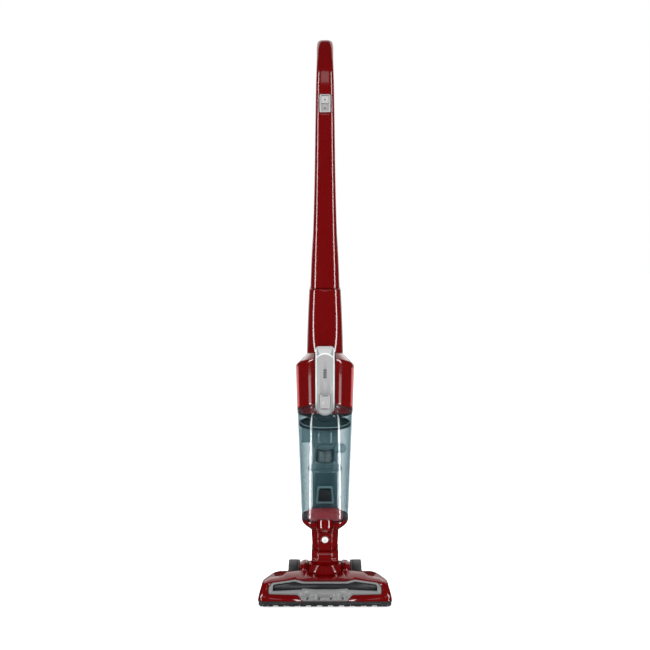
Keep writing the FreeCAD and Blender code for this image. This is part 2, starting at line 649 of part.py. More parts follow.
def make_separator():
    """Lid ring with its cup, gasket, cyclone tube, mesh shroud and dust skirt."""
    under_seam = slant_block(SEAM_Z - 1.5, SEAM_SLOPE, False)
    dish = tube_z(RING_Z - 2.0, RING_Z, RING_R - 0.2, FILTER_HOLE_R)
    lip = tube_z(RING_Z - 2.0, RING_Z + 1.6, RING_R, RING_R - 2.0)
    cup = tube_z(RING_Z - 2.0, 420.0, CUP_R, CUP_R - 2.2).common(under_seam)
    cup = cup.cut(box(-19.5, 19.5, -40.0, 0.0, 390.4, 430.0))
    filter_rim = tube_z(FILTER_TOP, RING_Z - 2.0, CORE_R - 2.2, FILTER_HOLE_R)
    NODES["separator_lid"] = fuse([dish, lip, cup, filter_rim])
    seat = bin_form(BIN_WALL + 0.05, BIN_BASE)
    ring = seat.common(box(-60, 60, -60, 60, RING_Z - 3.2, RING_Z + 0.6))
    NODES["separator_gasket"] = ring.cut(rod_z(300, 400, RING_R))
    core = tube_z(SHROUD_TOP, RING_Z - 2.0, CORE_R, CORE_R - 1.8)
    shoulder = Part.makeCone(SHROUD_R, CORE_R, 6.0, Vector(0, 0, SHROUD_TOP - 6.0))
    shoulder = shoulder.cut(Part.makeCone(SHROUD_R - 1.8, CORE_R - 1.8, 6.0,
                                          Vector(0, 0, SHROUD_TOP - 6.0)))
    plate_left = box(-47.0, -25.4, -2.0, 0.0, 322.0, 358.0)
    ear = prism_front([(25.4, 300.0), (36.0, 300.0), (46.0, 309.0), (36.0, 320.0),
                       (25.4, 320.0)], [0, 3.0, 8.0, 3.0, 0], -2.0, 0.0)
    ear_root = tube_z(300.0, SHROUD_TOP, CORE_R, CORE_R - 1.8).common(
        box(18.0, 30.0, -8.0, 8.0, 290, 330))
    NODES["cyclone_tube"] = fuse([core, shoulder, plate_left, ear, ear_root])
    shroud = tube_z(SHROUD_LOW, SHROUD_TOP - 6.0, SHROUD_R - 0.2, SHROUD_R - 1.6)
    end = rod_z(SHROUD_LOW - 1.5, SHROUD_LOW, SHROUD_R - 0.2)
    shroud = fuse([shroud, end])
    for row in range(5):
        for i in range(10):
            turn = 2 * math.pi * (i + 0.5) / 10
            aim = Vector(math.cos(turn), math.sin(turn), 0)
            at = Vector(0, 0, SHROUD_LOW + 6.0 + 7.0 * row) + aim * (SHROUD_R - 4)
            shroud = shroud.cut(Part.makeCylinder(2.2, 6.0, at, aim))
    NODES["mesh_shroud"] = shroud
    skirt = Part.makeCone(SKIRT_R, SHROUD_R, 16.0, Vector(0, 0, SHROUD_LOW - 2.0))
    skirt = skirt.cut(Part.makeCone(SKIRT_R - 1.8, SHROUD_R - 1.8, 16.0,
                                    Vector(0, 0, SHROUD_LOW - 2.0)))
    skirt = skirt.cut(rod_z(SHROUD_LOW - 5, SHROUD_LOW + 20, SHROUD_R))
    NODES["dust_skirt"] = skirt


def pleat_wire(r_fold, r_valley, z):
    """A star outline with one fold and one valley for each pleat."""
    points = []
    for i in range(2 * PLEATS):
        r = r_fold if i % 2 else r_valley
        turn = math.pi * i / PLEATS
        points.append(Vector(r * math.cos(turn), r * math.sin(turn), z))
    return Part.makePolygon(points + [points[0]])


def make_filter():
    """Conical pleated filter that hangs under the lid ring, inside the cyclone tube."""
    cone = loft([pleat_wire(17.0, 14.5, FILTER_LOW), pleat_wire(13.5, 11.5, FILTER_TOP)], True)
    NODES["pleated_filter"] = cone.cut(rod_z(FILTER_LOW - 4, FILTER_TOP + 4, FILTER_HOLE_R - 1))


# ---------------------------------------------------------------- bowl and spine
def bowl(inset):
    """The red bowl under the bin, moved inwards by inset."""
    return loft([oval_wire(27.6 - inset, 24.4 - inset, 24.4 - inset, NECK_TOP, 0, 3, 3),
                 oval_wire(37.0 - inset, 32.0 - inset, 31.5 - inset, 149.5, 0, 2.7, 2.7),
                 oval_wire(45.6 - inset, 38.8 - inset, 37.6 - inset, 157.6, 0, 2.6, 2.6),
                 oval_wire(48.0 - inset, 41.0 - inset, 39.5 - inset, SEAT_TOP, 0, 2.6, 2.6)])


def make_seat():
    spine_foot = prism_side([(24.0, 143.0), (46.0, 147.0), (60.0, 160.0), (60.0, SEAT_TOP),
                             (24.0, SEAT_TOP)], [0, 10.0, 8.0, 0, 0], -SPINE_HALF - 1.2,
                            SPINE_HALF + 1.2)
    foot_space = prism_side([(20.0, 146.0), (45.0, 149.5), (57.5, 162.0), (57.5, 170.0),
                             (42.0, 170.0), (42.0, 163.6), (20.0, 163.6)], 0, -23.4, 23.4)
    space = bowl(WALL).common(box(-60, 60, -60, 60, 100.0, SEAT_TOP - 2.6))
    recess = box(-FOOT_HALF - 0.4, FOOT_HALF + 0.4, -60.0, -33.2, 147.6, 175.0)
    guard = box(-FOOT_HALF - 2.6, FOOT_HALF + 2.6, -60.0, -31.2, 140.0, 175.0)
    seat = bowl(0.0).cut(recess).fuse(spine_foot).cut(space.cut(guard)).cut(foot_space)
    pin_half = FOOT_HALF + 2.8
    pin = rod_x(-pin_half, pin_half, BIN_PIVOT_Y, BIN_PIVOT_Z, BIN_PIN_R)
    cheeks = rod_x(-pin_half - 0.4, pin_half + 0.4, BIN_PIVOT_Y, BIN_PIVOT_Z, 3.6)
    cheeks = cheeks.cut(box(-FOOT_HALF - 0.4, FOOT_HALF + 0.4, -60, 0, 100, 200))
    NODES["bin_seat"] = seat.fuse(cheeks).cut(pin)
    NODES["bin_hinge_pin"] = pin


def make_spine():
    """Air duct up the back of the bin and the red cover behind it."""
    duct = spine_block(SPINE_HALF, 0.9, -2.6, SEAT_TOP + 0.1, 350.0)
    hollow = spine_block(SPINE_HALF - 2.2, 3.0, 5.0, SEAT_TOP - 1.0, 360.0)
    stop_plate = spine_block(SPINE_HALF - 1.0, 1.5, -3.0, 216.0, 218.0)
    duct = fuse([duct.cut(hollow), stop_plate])
    duct = duct.cut(box(-INLET_HALF, INLET_HALF, 30.0, 50.0, INLET_LOW, INLET_TOP))
    NODES["spine_duct"] = duct
    back = spine_block(SPINE_HALF + 1.2, 0.0, 0.0, SEAT_TOP + 0.1, 380.0)
    corners = []
    for edge in back.Edges:
        if edge.BoundBox.YMin > 58.0 and edge.BoundBox.ZLength > 100.0:
            corners.append(edge)
    back = back.makeFillet(5.0, corners)
    front_part = spine_block(40.0, -20.0, -2.5, SEAT_TOP - 2.0, 390.0)
    back = back.cut(front_part).common(slant_block(SEAM_Z - 0.4, SEAM_SLOPE, False))
    NODES["spine_cover"] = back


# ---------------------------------------------------------------- motor body
def body_form(d):
    """Drum, shoulders and upper body as one solid, moved inwards by d."""
    def drum_wire(z, a, slope):
        return oval_wire(a - d, a - 0.2 - d, 62.6 - d, z, slope, 2.15, 2.9)

    drum = loft([drum_wire(330.0, 54.5, SEAM_SLOPE), drum_wire(SEAM_Z, 56.2, SEAM_SLOPE),
                 drum_wire(433.0, 57.5, 0.44), drum_wire(CREASE_Z, 58.4, CREASE_SLOPE)])
    crease = drum_wire(CREASE_Z, 58.4, CREASE_SLOPE)
    neckline = oval_wire(36.4 - d, 41.0 - d, 42.0 - d, NECKLINE_Z, NECKLINE_SLOPE, 2.3, 2.5)
    shoulder = loft([crease, neckline], True)
    upper = loft([neckline,
                  oval_wire(35.0 - d, 36.5 - d, 38.0 - d, 545.0, 0.1, 3.0, 2.8),
                  oval_wire(33.2 - d, 33.5 - d, 34.5 - d, 590.0, 0.0, GRIP_POWER, 3.0),
                  oval_wire(30.8 - d, 31.0 - d, 31.5 - d, BODY_TOP, 0.0, GRIP_POWER,
                            GRIP_POWER)])
    return fuse([drum, shoulder, upper])


def panel_form(d, back):
    """Silver control panel, moved inwards by d, as deep as back."""
    front = [(PANEL_FRONT + d, 380.0), (back, 380.0), (back, 519.0 - d), (-42.5, PANEL_TOP + 2),
             (-45.5 + d, PANEL_TOP + 2 - d), (PANEL_FRONT + d, PANEL_BEND - d)]
    side = prism_side(front, [0, 0, 0, 0, 3.0, 6.0], -30.0, 30.0)
    face = prism_front([(-PANEL_HALF + d, PANEL_LOW + d), (PANEL_HALF - d, PANEL_LOW + d),
                        (PANEL_HALF - d, PANEL_TOP - d), (-PANEL_HALF + d, PANEL_TOP - d)],
                       [PANEL_HALF - d - 0.2, PANEL_HALF - d - 0.2, 7.0, 7.0], -80.0, -30.0)
    crown = rod_z(370.0, 540.0, 100.0 - d, 0.0, PANEL_FRONT + 100.0)
    return side.common(face).common(crown)


def make_body_shells():
    shell = body_form(0.0).cut(body_form(WALL))
    shell = shell.common(slant_block(SEAM_Z, SEAM_SLOPE, True))
    shell = shell.common(box(-100, 100, -100, 100, 300, BODY_TOP))
    shell = shell.cut(panel_form(-0.15, -40.0))
    shell = shell.cut(rod_y(20.0, 60.0, 0.0, JACK_Z, JACK_HOUSING_R + 0.2))
    slots = []
    for side in (-1, 1):
        for i in range(7):
            z = 414.0 + 7.0 * i
            x0, x1 = sorted((side * 14.0, side * 40.0))
            slots.append(box(x0, x1, 35.0, 80.0, z, z + 3.0))
    rear = shell.common(box(-100, 100, 2.0, 100, 300, 700)).cut(Part.Compound(slots))
    NODES["body_front_shell"] = shell.common(box(-100, 100, -100, 2.0, 300, 700))
    NODES["body_rear_shell"] = rear


def make_control_panel():
    """Silver panel with its bin button and the row of charge lamps."""
    panel = panel_form(0.0, -50.0).cut(panel_form(2.2, -30.0))
    panel = panel.cut(body_form(WALL + 0.4))
    button_hole = prism_front([(-BUTTON_HALF, BUTTON_LOW), (BUTTON_HALF, BUTTON_LOW),
                               (BUTTON_HALF, BUTTON_TOP), (-BUTTON_HALF, BUTTON_TOP)], 4.5,
                              -80.0, -51.0)
    panel = panel.cut(button_hole)
    lamps = []
    for i in range(LAMP_COUNT):
        z = LAMP_LOW + LAMP_PITCH * i
        lamps.append(box(-LAMP_HALF, LAMP_HALF, -60.1, -56.5, z, z + LAMP_PITCH - 0.9))
    NODES["control_panel"] = panel.cut(Part.Compound(lamps))
    NODES["charge_lamps"] = Part.Compound(lamps)
    button = prism_front([(-BUTTON_HALF + GAP, BUTTON_LOW + GAP),
                          (BUTTON_HALF - GAP, BUTTON_LOW + GAP),
                          (BUTTON_HALF - GAP, BUTTON_TOP - GAP),
                          (-BUTTON_HALF + GAP, BUTTON_TOP - GAP)], 4.2, -60.9, -53.5)
    thumb = rod_x(-7.5, 7.5, -61.6, BUTTON_TOP - 4.0, 1.4)
    NODES["bin_release_button"] = button.cut(thumb)


def make_boards():
    """Control board behind the panel and switch board in the handle."""
    boards = [box(-14.0, 14.0, -50.2, -48.6, 425.0, 500.0),
              box(-8.0, 8.0, -11.6, -10.0, 974.0, 1008.0)]
    NODES["circuit_boards"] = Part.Compound(boards)


def make_bulkhead():
    """Plate that carries the suction unit, with the seal ring that meets the bin."""
    inside = body_form(WALL + 0.1)
    bulkhead = inside.common(box(-100, 100, -100, 100, BULKHEAD_Z, BULKHEAD_Z + 2.5))
    bulkhead = bulkhead.cut(rod_z(400, 440, 27.0))
    bulkhead = bulkhead.cut(box(-21, 21, -80, -48, 400, 440))
    NODES["motor_bulkhead"] = bulkhead
    seal = tube_z(360.0, BULKHEAD_Z, 31.5, 27.5)
    zone = fuse([slant_block(SEAM_Z + 0.4, SEAM_SLOPE, True),
                 box(-18.6, 18.6, -40.0, 0.0, 391.4, 430.0)])
    NODES["intake_seal"] = seal.common(zone)


def make_suction_unit():
    """Fan in its housing, the motor above it, its rubber mount and the exhaust filter."""
    low = BULKHEAD_Z + 2.6
    housing = tube_z(low, low + 20.0, 34.0, 31.6)
    housing = fuse([housing, tube_z(low + 17.8, low + 20.0, 34.0, 8.0),
                    tube_z(low, low + 1.6, 34.0, 26.0)])
    ports = []
    for i in range(8):
        turn = 2 * math.pi * i / 8
        aim = Vector(math.cos(turn), math.sin(turn), 0)
        ports.append(Part.makeCylinder(4.0, 8.0, Vector(0, 0, low + 10.0) + aim * 29, aim))
    NODES["fan_housing"] = housing.cut(Part.Compound(ports))
    shaft = rod_z(low + 3.0, low + 46.0, 2.0)
    disc = rod_z(low + 12.0, low + 14.0, FAN_R)
    eye = tube_z(low + 4.0, low + 5.6, FAN_R, 15.0)
    hub = rod_z(low + 4.0, low + 14.0, 6.5)
    blades = []
    for i in range(9):
        blade = box(12.0, FAN_R - 0.5, -0.7, 0.7, low + 5.0, low + 12.5)
        blade.rotate(Vector(12.0, 0, 0), Vector(0, 0, 1), -28.0)
        blade.rotate(Vector(0, 0, 0), Vector(0, 0, 1), 40.0 * i)
        blades.append(blade)
    NODES["fan_impeller"] = fuse([disc, eye, hub, shaft] + blades)
    motor = rod_z(low + 20.2, low + 62.0, MOTOR_R)
    motor = motor.cut(rod_z(low, low + 48.0, 2.08))
    NODES["suction_motor"] = motor
    NODES["motor_mount"] = tube_z(low + 44.0, low + 52.0, MOTOR_R + 4.0, MOTOR_R)
    NODES["exhaust_filter"] = tube_z(low + 1.0, low + 30.0, 46.0, 37.0).cut(
        box(-60, 60, -60, -40, 300, 600))


def make_battery():
    cells = []
    for sx in (-1, 1):
        for sy in (-1, 1):
            cells.append(rod_z(CELL_LOW, CELL_LOW + CELL_LENGTH, CELL_R, sx * 9.6, sy * 9.6))
    NODES["battery_cells"] = Part.Compound(cells)
    ends = [box(-20.5, 20.5, -20.5, 20.5, CELL_LOW - 3.0, CELL_LOW + 4.0),
            box(-20.5, 20.5, -20.5, 20.5, CELL_LOW + CELL_LENGTH - 4, CELL_LOW + CELL_LENGTH + 3)]
    posts = []
    for sx in (-1, 1):
        posts.append(box(sx * 20.5 - 1.2, sx * 20.5 + 1.2, -6.0, 6.0, CELL_LOW - 3.0,
                         CELL_LOW + CELL_LENGTH + 3.0))
    NODES["battery_holder"] = fuse(ends + posts).cut(Part.Compound(cells))


def make_charging_socket():
    """Round socket for the charger's plug, open to the rear."""
    floor = JACK_MOUTH_Y - JACK_DEPTH
    jack = rod_y(floor - 2, JACK_MOUTH_Y, 0.0, JACK_Z, JACK_HOUSING_R)
    NODES["charging_socket"] = jack.cut(rod_y(floor, JACK_MOUTH_Y + 6, 0.0, JACK_Z, JACK_R))


# ---------------------------------------------------------------- handle
def handle_point(s):
    """Centre and heading of the grip at arc length s above the end of the straight tube."""
    bend = math.radians(HANDLE_BEND_DEG)
    arc = HANDLE_BEND_R * bend
    turn = min(max(s, 0.0), arc) / HANDLE_BEND_R
    y = HANDLE_BEND_R * (1 - math.cos(turn))
    z = HANDLE_BEND_Z + HANDLE_BEND_R * math.sin(turn)
    extra = s if s < 0 else max(0.0, s - arc)
    return y + extra * math.sin(turn), z + extra * math.cos(turn), turn


def handle_wire(s, a, b, power=GRIP_POWER):
    y_mid, z_mid, turn = handle_point(s)
    flat = oval_wire(a, b, b, 0.0, 0.0, power, power)
    flat.rotate(Vector(0, 0, 0), Vector(1, 0, 0), -math.degrees(turn))
    flat.translate(Vector(0, y_mid, z_mid))
    return flat


def handle_form(d):
    start = BODY_TOP + 0.2 - HANDLE_BEND_Z
    arc = HANDLE_BEND_R * math.radians(HANDLE_BEND_DEG)
    end = arc + HANDLE_TAIL
    stations = [(start, 28.9, 29.2), (start + 26, 27.8, 27.4), (start + 60, 26.3, 25.0),
                (start + 100, 24.4, 22.4), (start + 160, 22.3, 19.6), (start + 230, 20.6, 17.6),
                (start + 300, 19.4, 16.6), (start + 360, 18.4, 16.2), (0.0, 17.8, 16.0),
                (arc * 0.4, 17.0, 15.8), (arc * 0.8, 16.8, 15.4), (end - 4, 16.6, 15.0)]
    wires = [handle_wire(s, a - d, b - d) for s, a, b in stations]
    tip = [(end + 2.0, 0.93), (end + 6.5, 0.72), (end + 9.0, 0.42), (end + 9.8, 0.12)]
    wires = wires + [handle_wire(s - d, (16.6 - d) * k, (15.0 - d) * k) for s, k in tip]
    return loft(wires)


def make_handle_shells():
    shell = handle_form(0.0).cut(handle_form(WALL))
    slot = box(-SWITCH_HALF - 0.1, SWITCH_HALF + 0.1, -40.0, -8.0, SWITCH_LOW - 0.1,
               SWITCH_TOP + 0.1)
    shell = shell.cut(slot)
    split = 1.5
    line = [(split, 600.0), (split, HANDLE_BEND_Z)]
    steps = 8
    arc = HANDLE_BEND_R * math.radians(HANDLE_BEND_DEG)
    for s in [arc * i / steps for i in range(1, steps + 1)] + [arc + 60.0]:
        y, z, turn = handle_point(s)
        line.append((y + split * math.cos(turn), z - split * math.sin(turn)))
    region = prism_side([(-90.0, 600.0)] + line + [(-90.0, line[-1][1])], 0, -60.0, 60.0)
    NODES["handle_front_shell"] = shell.common(region)
    NODES["handle_rear_shell"] = shell.cut(region)


def make_handle_sleeve():
    """Stiffening sleeve inside the joint of body and handle."""
    joint = oval_wire(28.0 - WALL, 28.2 - WALL, 28.2 - WALL, BODY_TOP - 22, 0, GRIP_POWER,
                      GRIP_POWER)
    joint_top = oval_wire(27.2 - WALL, 26.6 - WALL, 26.6 - WALL, BODY_TOP + 24, 0, GRIP_POWER,
                          GRIP_POWER)
    sleeve = loft([joint, joint_top], True)
    sleeve = sleeve.cut(rod_z(BODY_TOP - 30, BODY_TOP + 30, 20.0))
    NODES["handle_sleeve"] = sleeve


def make_switch():
    """Silver switch frame and the slider that runs up and down in it."""
    front = SWITCH_FRONT
    bezel = prism_front([(-SWITCH_HALF, SWITCH_LOW), (SWITCH_HALF, SWITCH_LOW),
                         (SWITCH_HALF, SWITCH_TOP), (-SWITCH_HALF, SWITCH_TOP)], 2.2,
                        front, front + 5.0)
    well = box(-SLIDER_HALF - GAP, SLIDER_HALF + GAP, front - 1, front + 3.6,
               SWITCH_LOW + 2.8, SWITCH_TOP - 2.6)
    NODES["switch_bezel"] = bezel.cut(well)
    thumb = prism_front([(-SLIDER_HALF, SLIDER_LOW), (SLIDER_HALF, SLIDER_LOW),
                         (SLIDER_HALF, SLIDER_TOP), (-SLIDER_HALF, SLIDER_TOP)], 1.2,
                        front - 1.0, front + 3.2)
    grips = []
    for i in range(3):
        grips.append(rod_x(-5.0, 5.0, front - 1.2, SLIDER_LOW + 3.0 + 3.6 * i, 0.55))
    NODES["power_slider"] = thumb.cut(Part.Compound(grips))


def make_loom():
    """Cable bundle from the battery up to the switch board."""
    loom_low = CELL_LOW + CELL_LENGTH + 4.0
    NODES["wiring_loom"] = rod_z(loom_low, 972.0, 1.8, 0.0, -6.0)


def make_screws():
    """Four screws that join the body shells from behind, each sunk in its own hole."""
    screws = []
    for x, z, surface in ((-14.0, 556.0, 36.0), (14.0, 556.0, 36.0),
                          (-14.0, 604.0, 31.4), (14.0, 604.0, 31.4)):
        seat_y = surface - 2.6
        shank = rod_y(surface - 11.0, seat_y, x, z, SCREW_R)
        screws.append(fuse([rod_y(seat_y, seat_y + 1.7, x, z, SCREW_HEAD_R), shank]))
        hole = rod_y(seat_y, surface + 6.0, x, z, SCREW_HEAD_R + 0.2)
        hole = hole.fuse(rod_y(0.0, surface, x, z, SCREW_R))
        NODES["body_rear_shell"] = NODES["body_rear_shell"].cut(hole)
    NODES["body_screws"] = Part.Compound(screws)


def main():
    for make in (make_head_cover, make_fascia, make_head_base, make_sole_trim, make_head_pins,
                 make_brush, make_brush_drive, make_wheels, make_yoke, make_neck,
                 make_bin_shell, make_bin_foot, make_inlet, make_separator, make_filter,
                 make_seat, make_spine, make_body_shells, make_control_panel, make_boards,
                 make_bulkhead, make_suction_unit, make_battery, make_charging_socket,
                 make_handle_shells, make_handle_sleeve, make_switch, make_loom, make_screws):
        make()
    os.makedirs("parts", exist_ok=True)
    for name, shape in NODES.items():
        solids = shape.Solids
        if not shape.isValid() or not solids:
            print("BAD", name, shape.isValid(), len(solids))
        clean = solids[0] if len(solids) == 1 else Part.Compound(solids)
        clean.exportStep("parts/" + name + ".step")
        b = clean.BoundBox
        print("%-22s %2d solids %9.0f mm3  x %.1f..%.1f y %.1f..%.1f z %.1f..%.1f" % (
            name, len(solids), clean.Volume, b.XMin, b.XMax, b.YMin, b.YMax, b.ZMin, b.ZMax))


main()
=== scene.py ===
"""Looks of the cordless stick vacuum: materials, fine pieces, studio and camera."""

import json
import math
import random

import bpy
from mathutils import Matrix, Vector


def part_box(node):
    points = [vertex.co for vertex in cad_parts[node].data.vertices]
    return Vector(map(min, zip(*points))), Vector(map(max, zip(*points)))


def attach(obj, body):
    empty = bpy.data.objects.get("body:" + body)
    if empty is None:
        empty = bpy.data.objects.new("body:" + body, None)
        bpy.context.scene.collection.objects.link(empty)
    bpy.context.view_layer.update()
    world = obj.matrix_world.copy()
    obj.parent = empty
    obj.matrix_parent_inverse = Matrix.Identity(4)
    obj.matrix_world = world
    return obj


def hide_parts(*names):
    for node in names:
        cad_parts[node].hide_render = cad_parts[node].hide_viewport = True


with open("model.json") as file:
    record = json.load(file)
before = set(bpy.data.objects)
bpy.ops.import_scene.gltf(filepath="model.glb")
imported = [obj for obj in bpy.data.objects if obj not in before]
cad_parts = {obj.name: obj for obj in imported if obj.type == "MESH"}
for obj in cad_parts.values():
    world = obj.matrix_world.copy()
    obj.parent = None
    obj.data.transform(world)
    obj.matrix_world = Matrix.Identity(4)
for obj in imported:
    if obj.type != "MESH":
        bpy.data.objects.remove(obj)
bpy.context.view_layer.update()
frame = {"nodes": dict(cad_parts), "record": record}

MM = 0.001

# Glass: refraction that gives the strong streaks of thick clear plastic.
GLASS_IOR = 2.4
GLASS_EDGE_BLEND = 0.35

# Panel and collar lines, in metres and as slopes in the part's own frame; the panel's lines bound
# its painted highlights and painted shade.
PANEL_ARC_HEIGHT = 512.8 * MM
PANEL_ARC_BOW = 26.3
PANEL_CORNER_SLOPE = 0.45
PANEL_CORNER_OFFSET = -220.5 * MM
PANEL_RIM_HIGHLIGHT_START = 15.8 * MM
FLOOR_TOP = 169.2 * MM
SEAM_HEIGHT, SEAM_TAN = 387.0 * MM, 0.4663
COLLAR_HEIGHT, COLLAR_TAN = 381.0 * MM, 0.2415
COLLAR_RADIUS, COLLAR_WALL = 50.4 * MM, 1.4 * MM
BEAD_RADIUS = 0.9 * MM

# Studio: upright strips at both sides, each (low, high, width, radiance).
STRIP_TURN = math.radians(57.0)
STRIP_REACH = 2.2
STRIPS = ((0.22, 2.3, 0.40, 12.0), (-0.30, -0.02, 0.40, 3.2), (-1.3, -0.34, 0.32, 17.0))
WORLD_GLOSSY_LEVEL = 0.025
FLOOR_SIZE = 24.0
FLOOR_GLOW = 0.30

# Camera: a 36 mm sensor, looking down a little.
LENS_LENGTH = 42.1
CAMERA_PLACE = (0.0, -1.5047, 0.744)
CAMERA_DIP = 6.9


# ---------------------------------------------------------------- material tools
def material(name):
    made = bpy.data.materials.new(name)
    made.use_nodes = True
    tree = made.node_tree
    return made, tree, tree.nodes["Principled BSDF"]


def noise(tree, scale, detail=3.0, stretch=(1.0, 1.0, 1.0)):
    """A noise pattern in the object's own space, stretched along its axes."""
    place = tree.nodes.new("ShaderNodeTexCoord")
    mapping = tree.nodes.new("ShaderNodeMapping")
    mapping.inputs["Scale"].default_value = stretch
    tree.links.new(place.outputs["Object"], mapping.inputs["Vector"])
    pattern = tree.nodes.new("ShaderNodeTexNoise")
    pattern.inputs["Scale"].default_value = scale
    pattern.inputs["Detail"].default_value = detail
    tree.links.new(mapping.outputs["Vector"], pattern.inputs["Vector"])
    return pattern.outputs["Fac"]


def spread(tree, value, low, high, start=0.3, end=0.7):
    """Maps a noise value from start..end to low..high."""
    ranged = tree.nodes.new("ShaderNodeMapRange")
    ranged.inputs["From Min"].default_value = start
    ranged.inputs["From Max"].default_value = end
    ranged.inputs["To Min"].default_value = low
    ranged.inputs["To Max"].default_value = high
    tree.links.new(value, ranged.inputs["Value"])
    return ranged.outputs["Result"]


def two_tone(tree, value, first, second):
    ramp = tree.nodes.new("ShaderNodeValToRGB")
    ramp.color_ramp.elements[0].position = 0.32
    ramp.color_ramp.elements[0].color = (*first, 1.0)
    ramp.color_ramp.elements[1].position = 0.68
    ramp.color_ramp.elements[1].color = (*second, 1.0)
    tree.links.new(value, ramp.inputs["Fac"])
    return ramp.outputs["Color"]


def bump(tree, shader, value, strength, depth):
    node = tree.nodes.new("ShaderNodeBump")
    node.inputs["Strength"].default_value = strength
    node.inputs["Distance"].default_value = depth
    tree.links.new(value, node.inputs["Height"])
    tree.links.new(node.outputs["Normal"], shader.inputs["Normal"])


def soft_edges(tree, shader, radius_mm):
    """Reads corners as if they were rounded, as moulded and painted corners are."""
    rounding = tree.nodes.new("ShaderNodeBevel")
    rounding.samples = 6
    rounding.inputs["Radius"].default_value = radius_mm * MM
    for socket in ("Normal", "Coat Normal"):
        tree.links.new(rounding.outputs["Normal"], shader.inputs[socket])


def moulded(name, first, second, rough=(0.3, 0.4), grain=600.0, relief=0.05, coat=0.0,
            metallic=0.0, stretch=(1.0, 1.0, 1.0), sheen=0.0, cloud=14.0, edge_mm=0.0):
    """Plastic, paint, rubber or metal: two close tones, uneven gloss and a fine relief."""
    made, tree, shader = material(name)
    tree.links.new(two_tone(tree, noise(tree, cloud), first, second),
                   shader.inputs["Base Color"])
    fine = noise(tree, grain, 2.0, stretch)
    tree.links.new(spread(tree, fine, *rough), shader.inputs["Roughness"])
    if relief > 0:
        bump(tree, shader, fine, relief, 0.0002)
    elif edge_mm > 0:
        soft_edges(tree, shader, edge_mm)
    shader.inputs["Coat Weight"].default_value = coat
    shader.inputs["Coat Roughness"].default_value = 0.03
    shader.inputs["Metallic"].default_value = metallic
    shader.inputs["Sheen Weight"].default_value = sheen
    return made


# Painted glow: an opaque light teal laid on the level rims of clear parts, standing in for light
# caught in their edges.
PAINTED_RIM_GLOW = (0.20, 0.34, 0.36)


def level_faces(tree, above):
    """Two masks of faces that point up or down: those higher than above, and those lower."""
    place = tree.nodes.new("ShaderNodeTexCoord")
    parts = tree.nodes.new("ShaderNodeSeparateXYZ")
    tree.links.new(place.outputs["Normal"], parts.inputs["Vector"])
    size = tree.nodes.new("ShaderNodeMath")
    size.operation = "ABSOLUTE"
    tree.links.new(parts.outputs["Z"], size.inputs[0])
    flat = spread(tree, size.outputs["Value"], 0.0, 0.75, 0.70, 0.85)
    height = tree.nodes.new("ShaderNodeSeparateXYZ")
    tree.links.new(place.outputs["Object"], height.inputs["Vector"])
    high = spread(tree, height.outputs["Z"], 0.0, 1.0, above, above + MM)
    low = spread(tree, height.outputs["Z"], 1.0, 0.0, above, above + MM)
    masks = []
    for side in (high, low):
        both = tree.nodes.new("ShaderNodeMath")
        both.operation = "MULTIPLY"
        tree.links.new(flat, both.inputs[0])
        tree.links.new(side, both.inputs[1])
        masks.append(both.outputs["Value"])
    return masks


def clear(name, face_tint, edge_tint, gloss_colour, face_cover, edge_cover, rough=0.03,
          rims_above=0.2):
    """Clear plastic: light passes with a tint that deepens where the wall is seen edge-on."""
    made, tree, shader = material(name)
    rim, base = level_faces(tree, rims_above)
    facing = tree.nodes.new("ShaderNodeLayerWeight")
    facing.inputs["Blend"].default_value = GLASS_EDGE_BLEND
    wall = tree.nodes.new("ShaderNodeMath")
    wall.operation = "SUBTRACT"
    wall.use_clamp = True
    tree.links.new(facing.outputs["Facing"], wall.inputs[0])
    tree.links.new(base, wall.inputs[1])
    slant = wall.outputs["Value"]
    tint = tree.nodes.new("ShaderNodeMix")
    tint.data_type = "RGBA"
    tint.inputs["A"].default_value = (*face_tint, 1.0)
    tint.inputs["B"].default_value = (*edge_tint, 1.0)
    tree.links.new(slant, tint.inputs["Factor"])
    through = tree.nodes.new("ShaderNodeBsdfTransparent")
    tree.links.new(tint.outputs["Result"], through.inputs["Color"])
    tree.links.new(two_tone(tree, noise(tree, 20.0), gloss_colour,
                            tuple(0.9 * c for c in gloss_colour)),
                   shader.inputs["Base Color"])
    tree.links.new(spread(tree, noise(tree, 300.0), rough, rough + 0.02),
                   shader.inputs["Roughness"])
    cover = spread(tree, slant, face_cover, edge_cover, 0.0, 1.0)
    shader.inputs["IOR"].default_value = GLASS_IOR
    shader.inputs["Coat Weight"].default_value = 1.0
    # Painted glow: level rims above rims_above are painted an opaque light teal.
    shade = tree.nodes.new("ShaderNodeMix")
    shade.data_type = "RGBA"
    tree.links.new(rim, shade.inputs["Factor"])
    tree.links.new(shader.inputs["Base Color"].links[0].from_socket, shade.inputs["A"])
    shade.inputs["B"].default_value = (*PAINTED_RIM_GLOW, 1.0)
    tree.links.new(shade.outputs["Result"], shader.inputs["Base Color"])
    more = tree.nodes.new("ShaderNodeMath")
    more.operation = "MAXIMUM"
    tree.links.new(cover, more.inputs[0])
    tree.links.new(rim, more.inputs[1])
    cover = more.outputs["Value"]
    mixed = tree.nodes.new("ShaderNodeMixShader")
    tree.links.new(cover, mixed.inputs["Fac"])
    tree.links.new(through.outputs["BSDF"], mixed.inputs[1])
    tree.links.new(shader.outputs["BSDF"], mixed.inputs[2])
    output = tree.nodes["Material Output"]
    tree.links.new(mixed.outputs["Shader"], output.inputs["Surface"])
    return made


def lit(name, colour, other, strength):
    """A lens that glows faintly."""
    made = moulded(name, colour, other, (0.12, 0.2), coat=0.6)
    shader = made.node_tree.nodes["Principled BSDF"]
    shader.inputs["Emission Color"].default_value = (*colour, 1.0)
    shader.inputs["Emission Strength"].default_value = strength
    return made


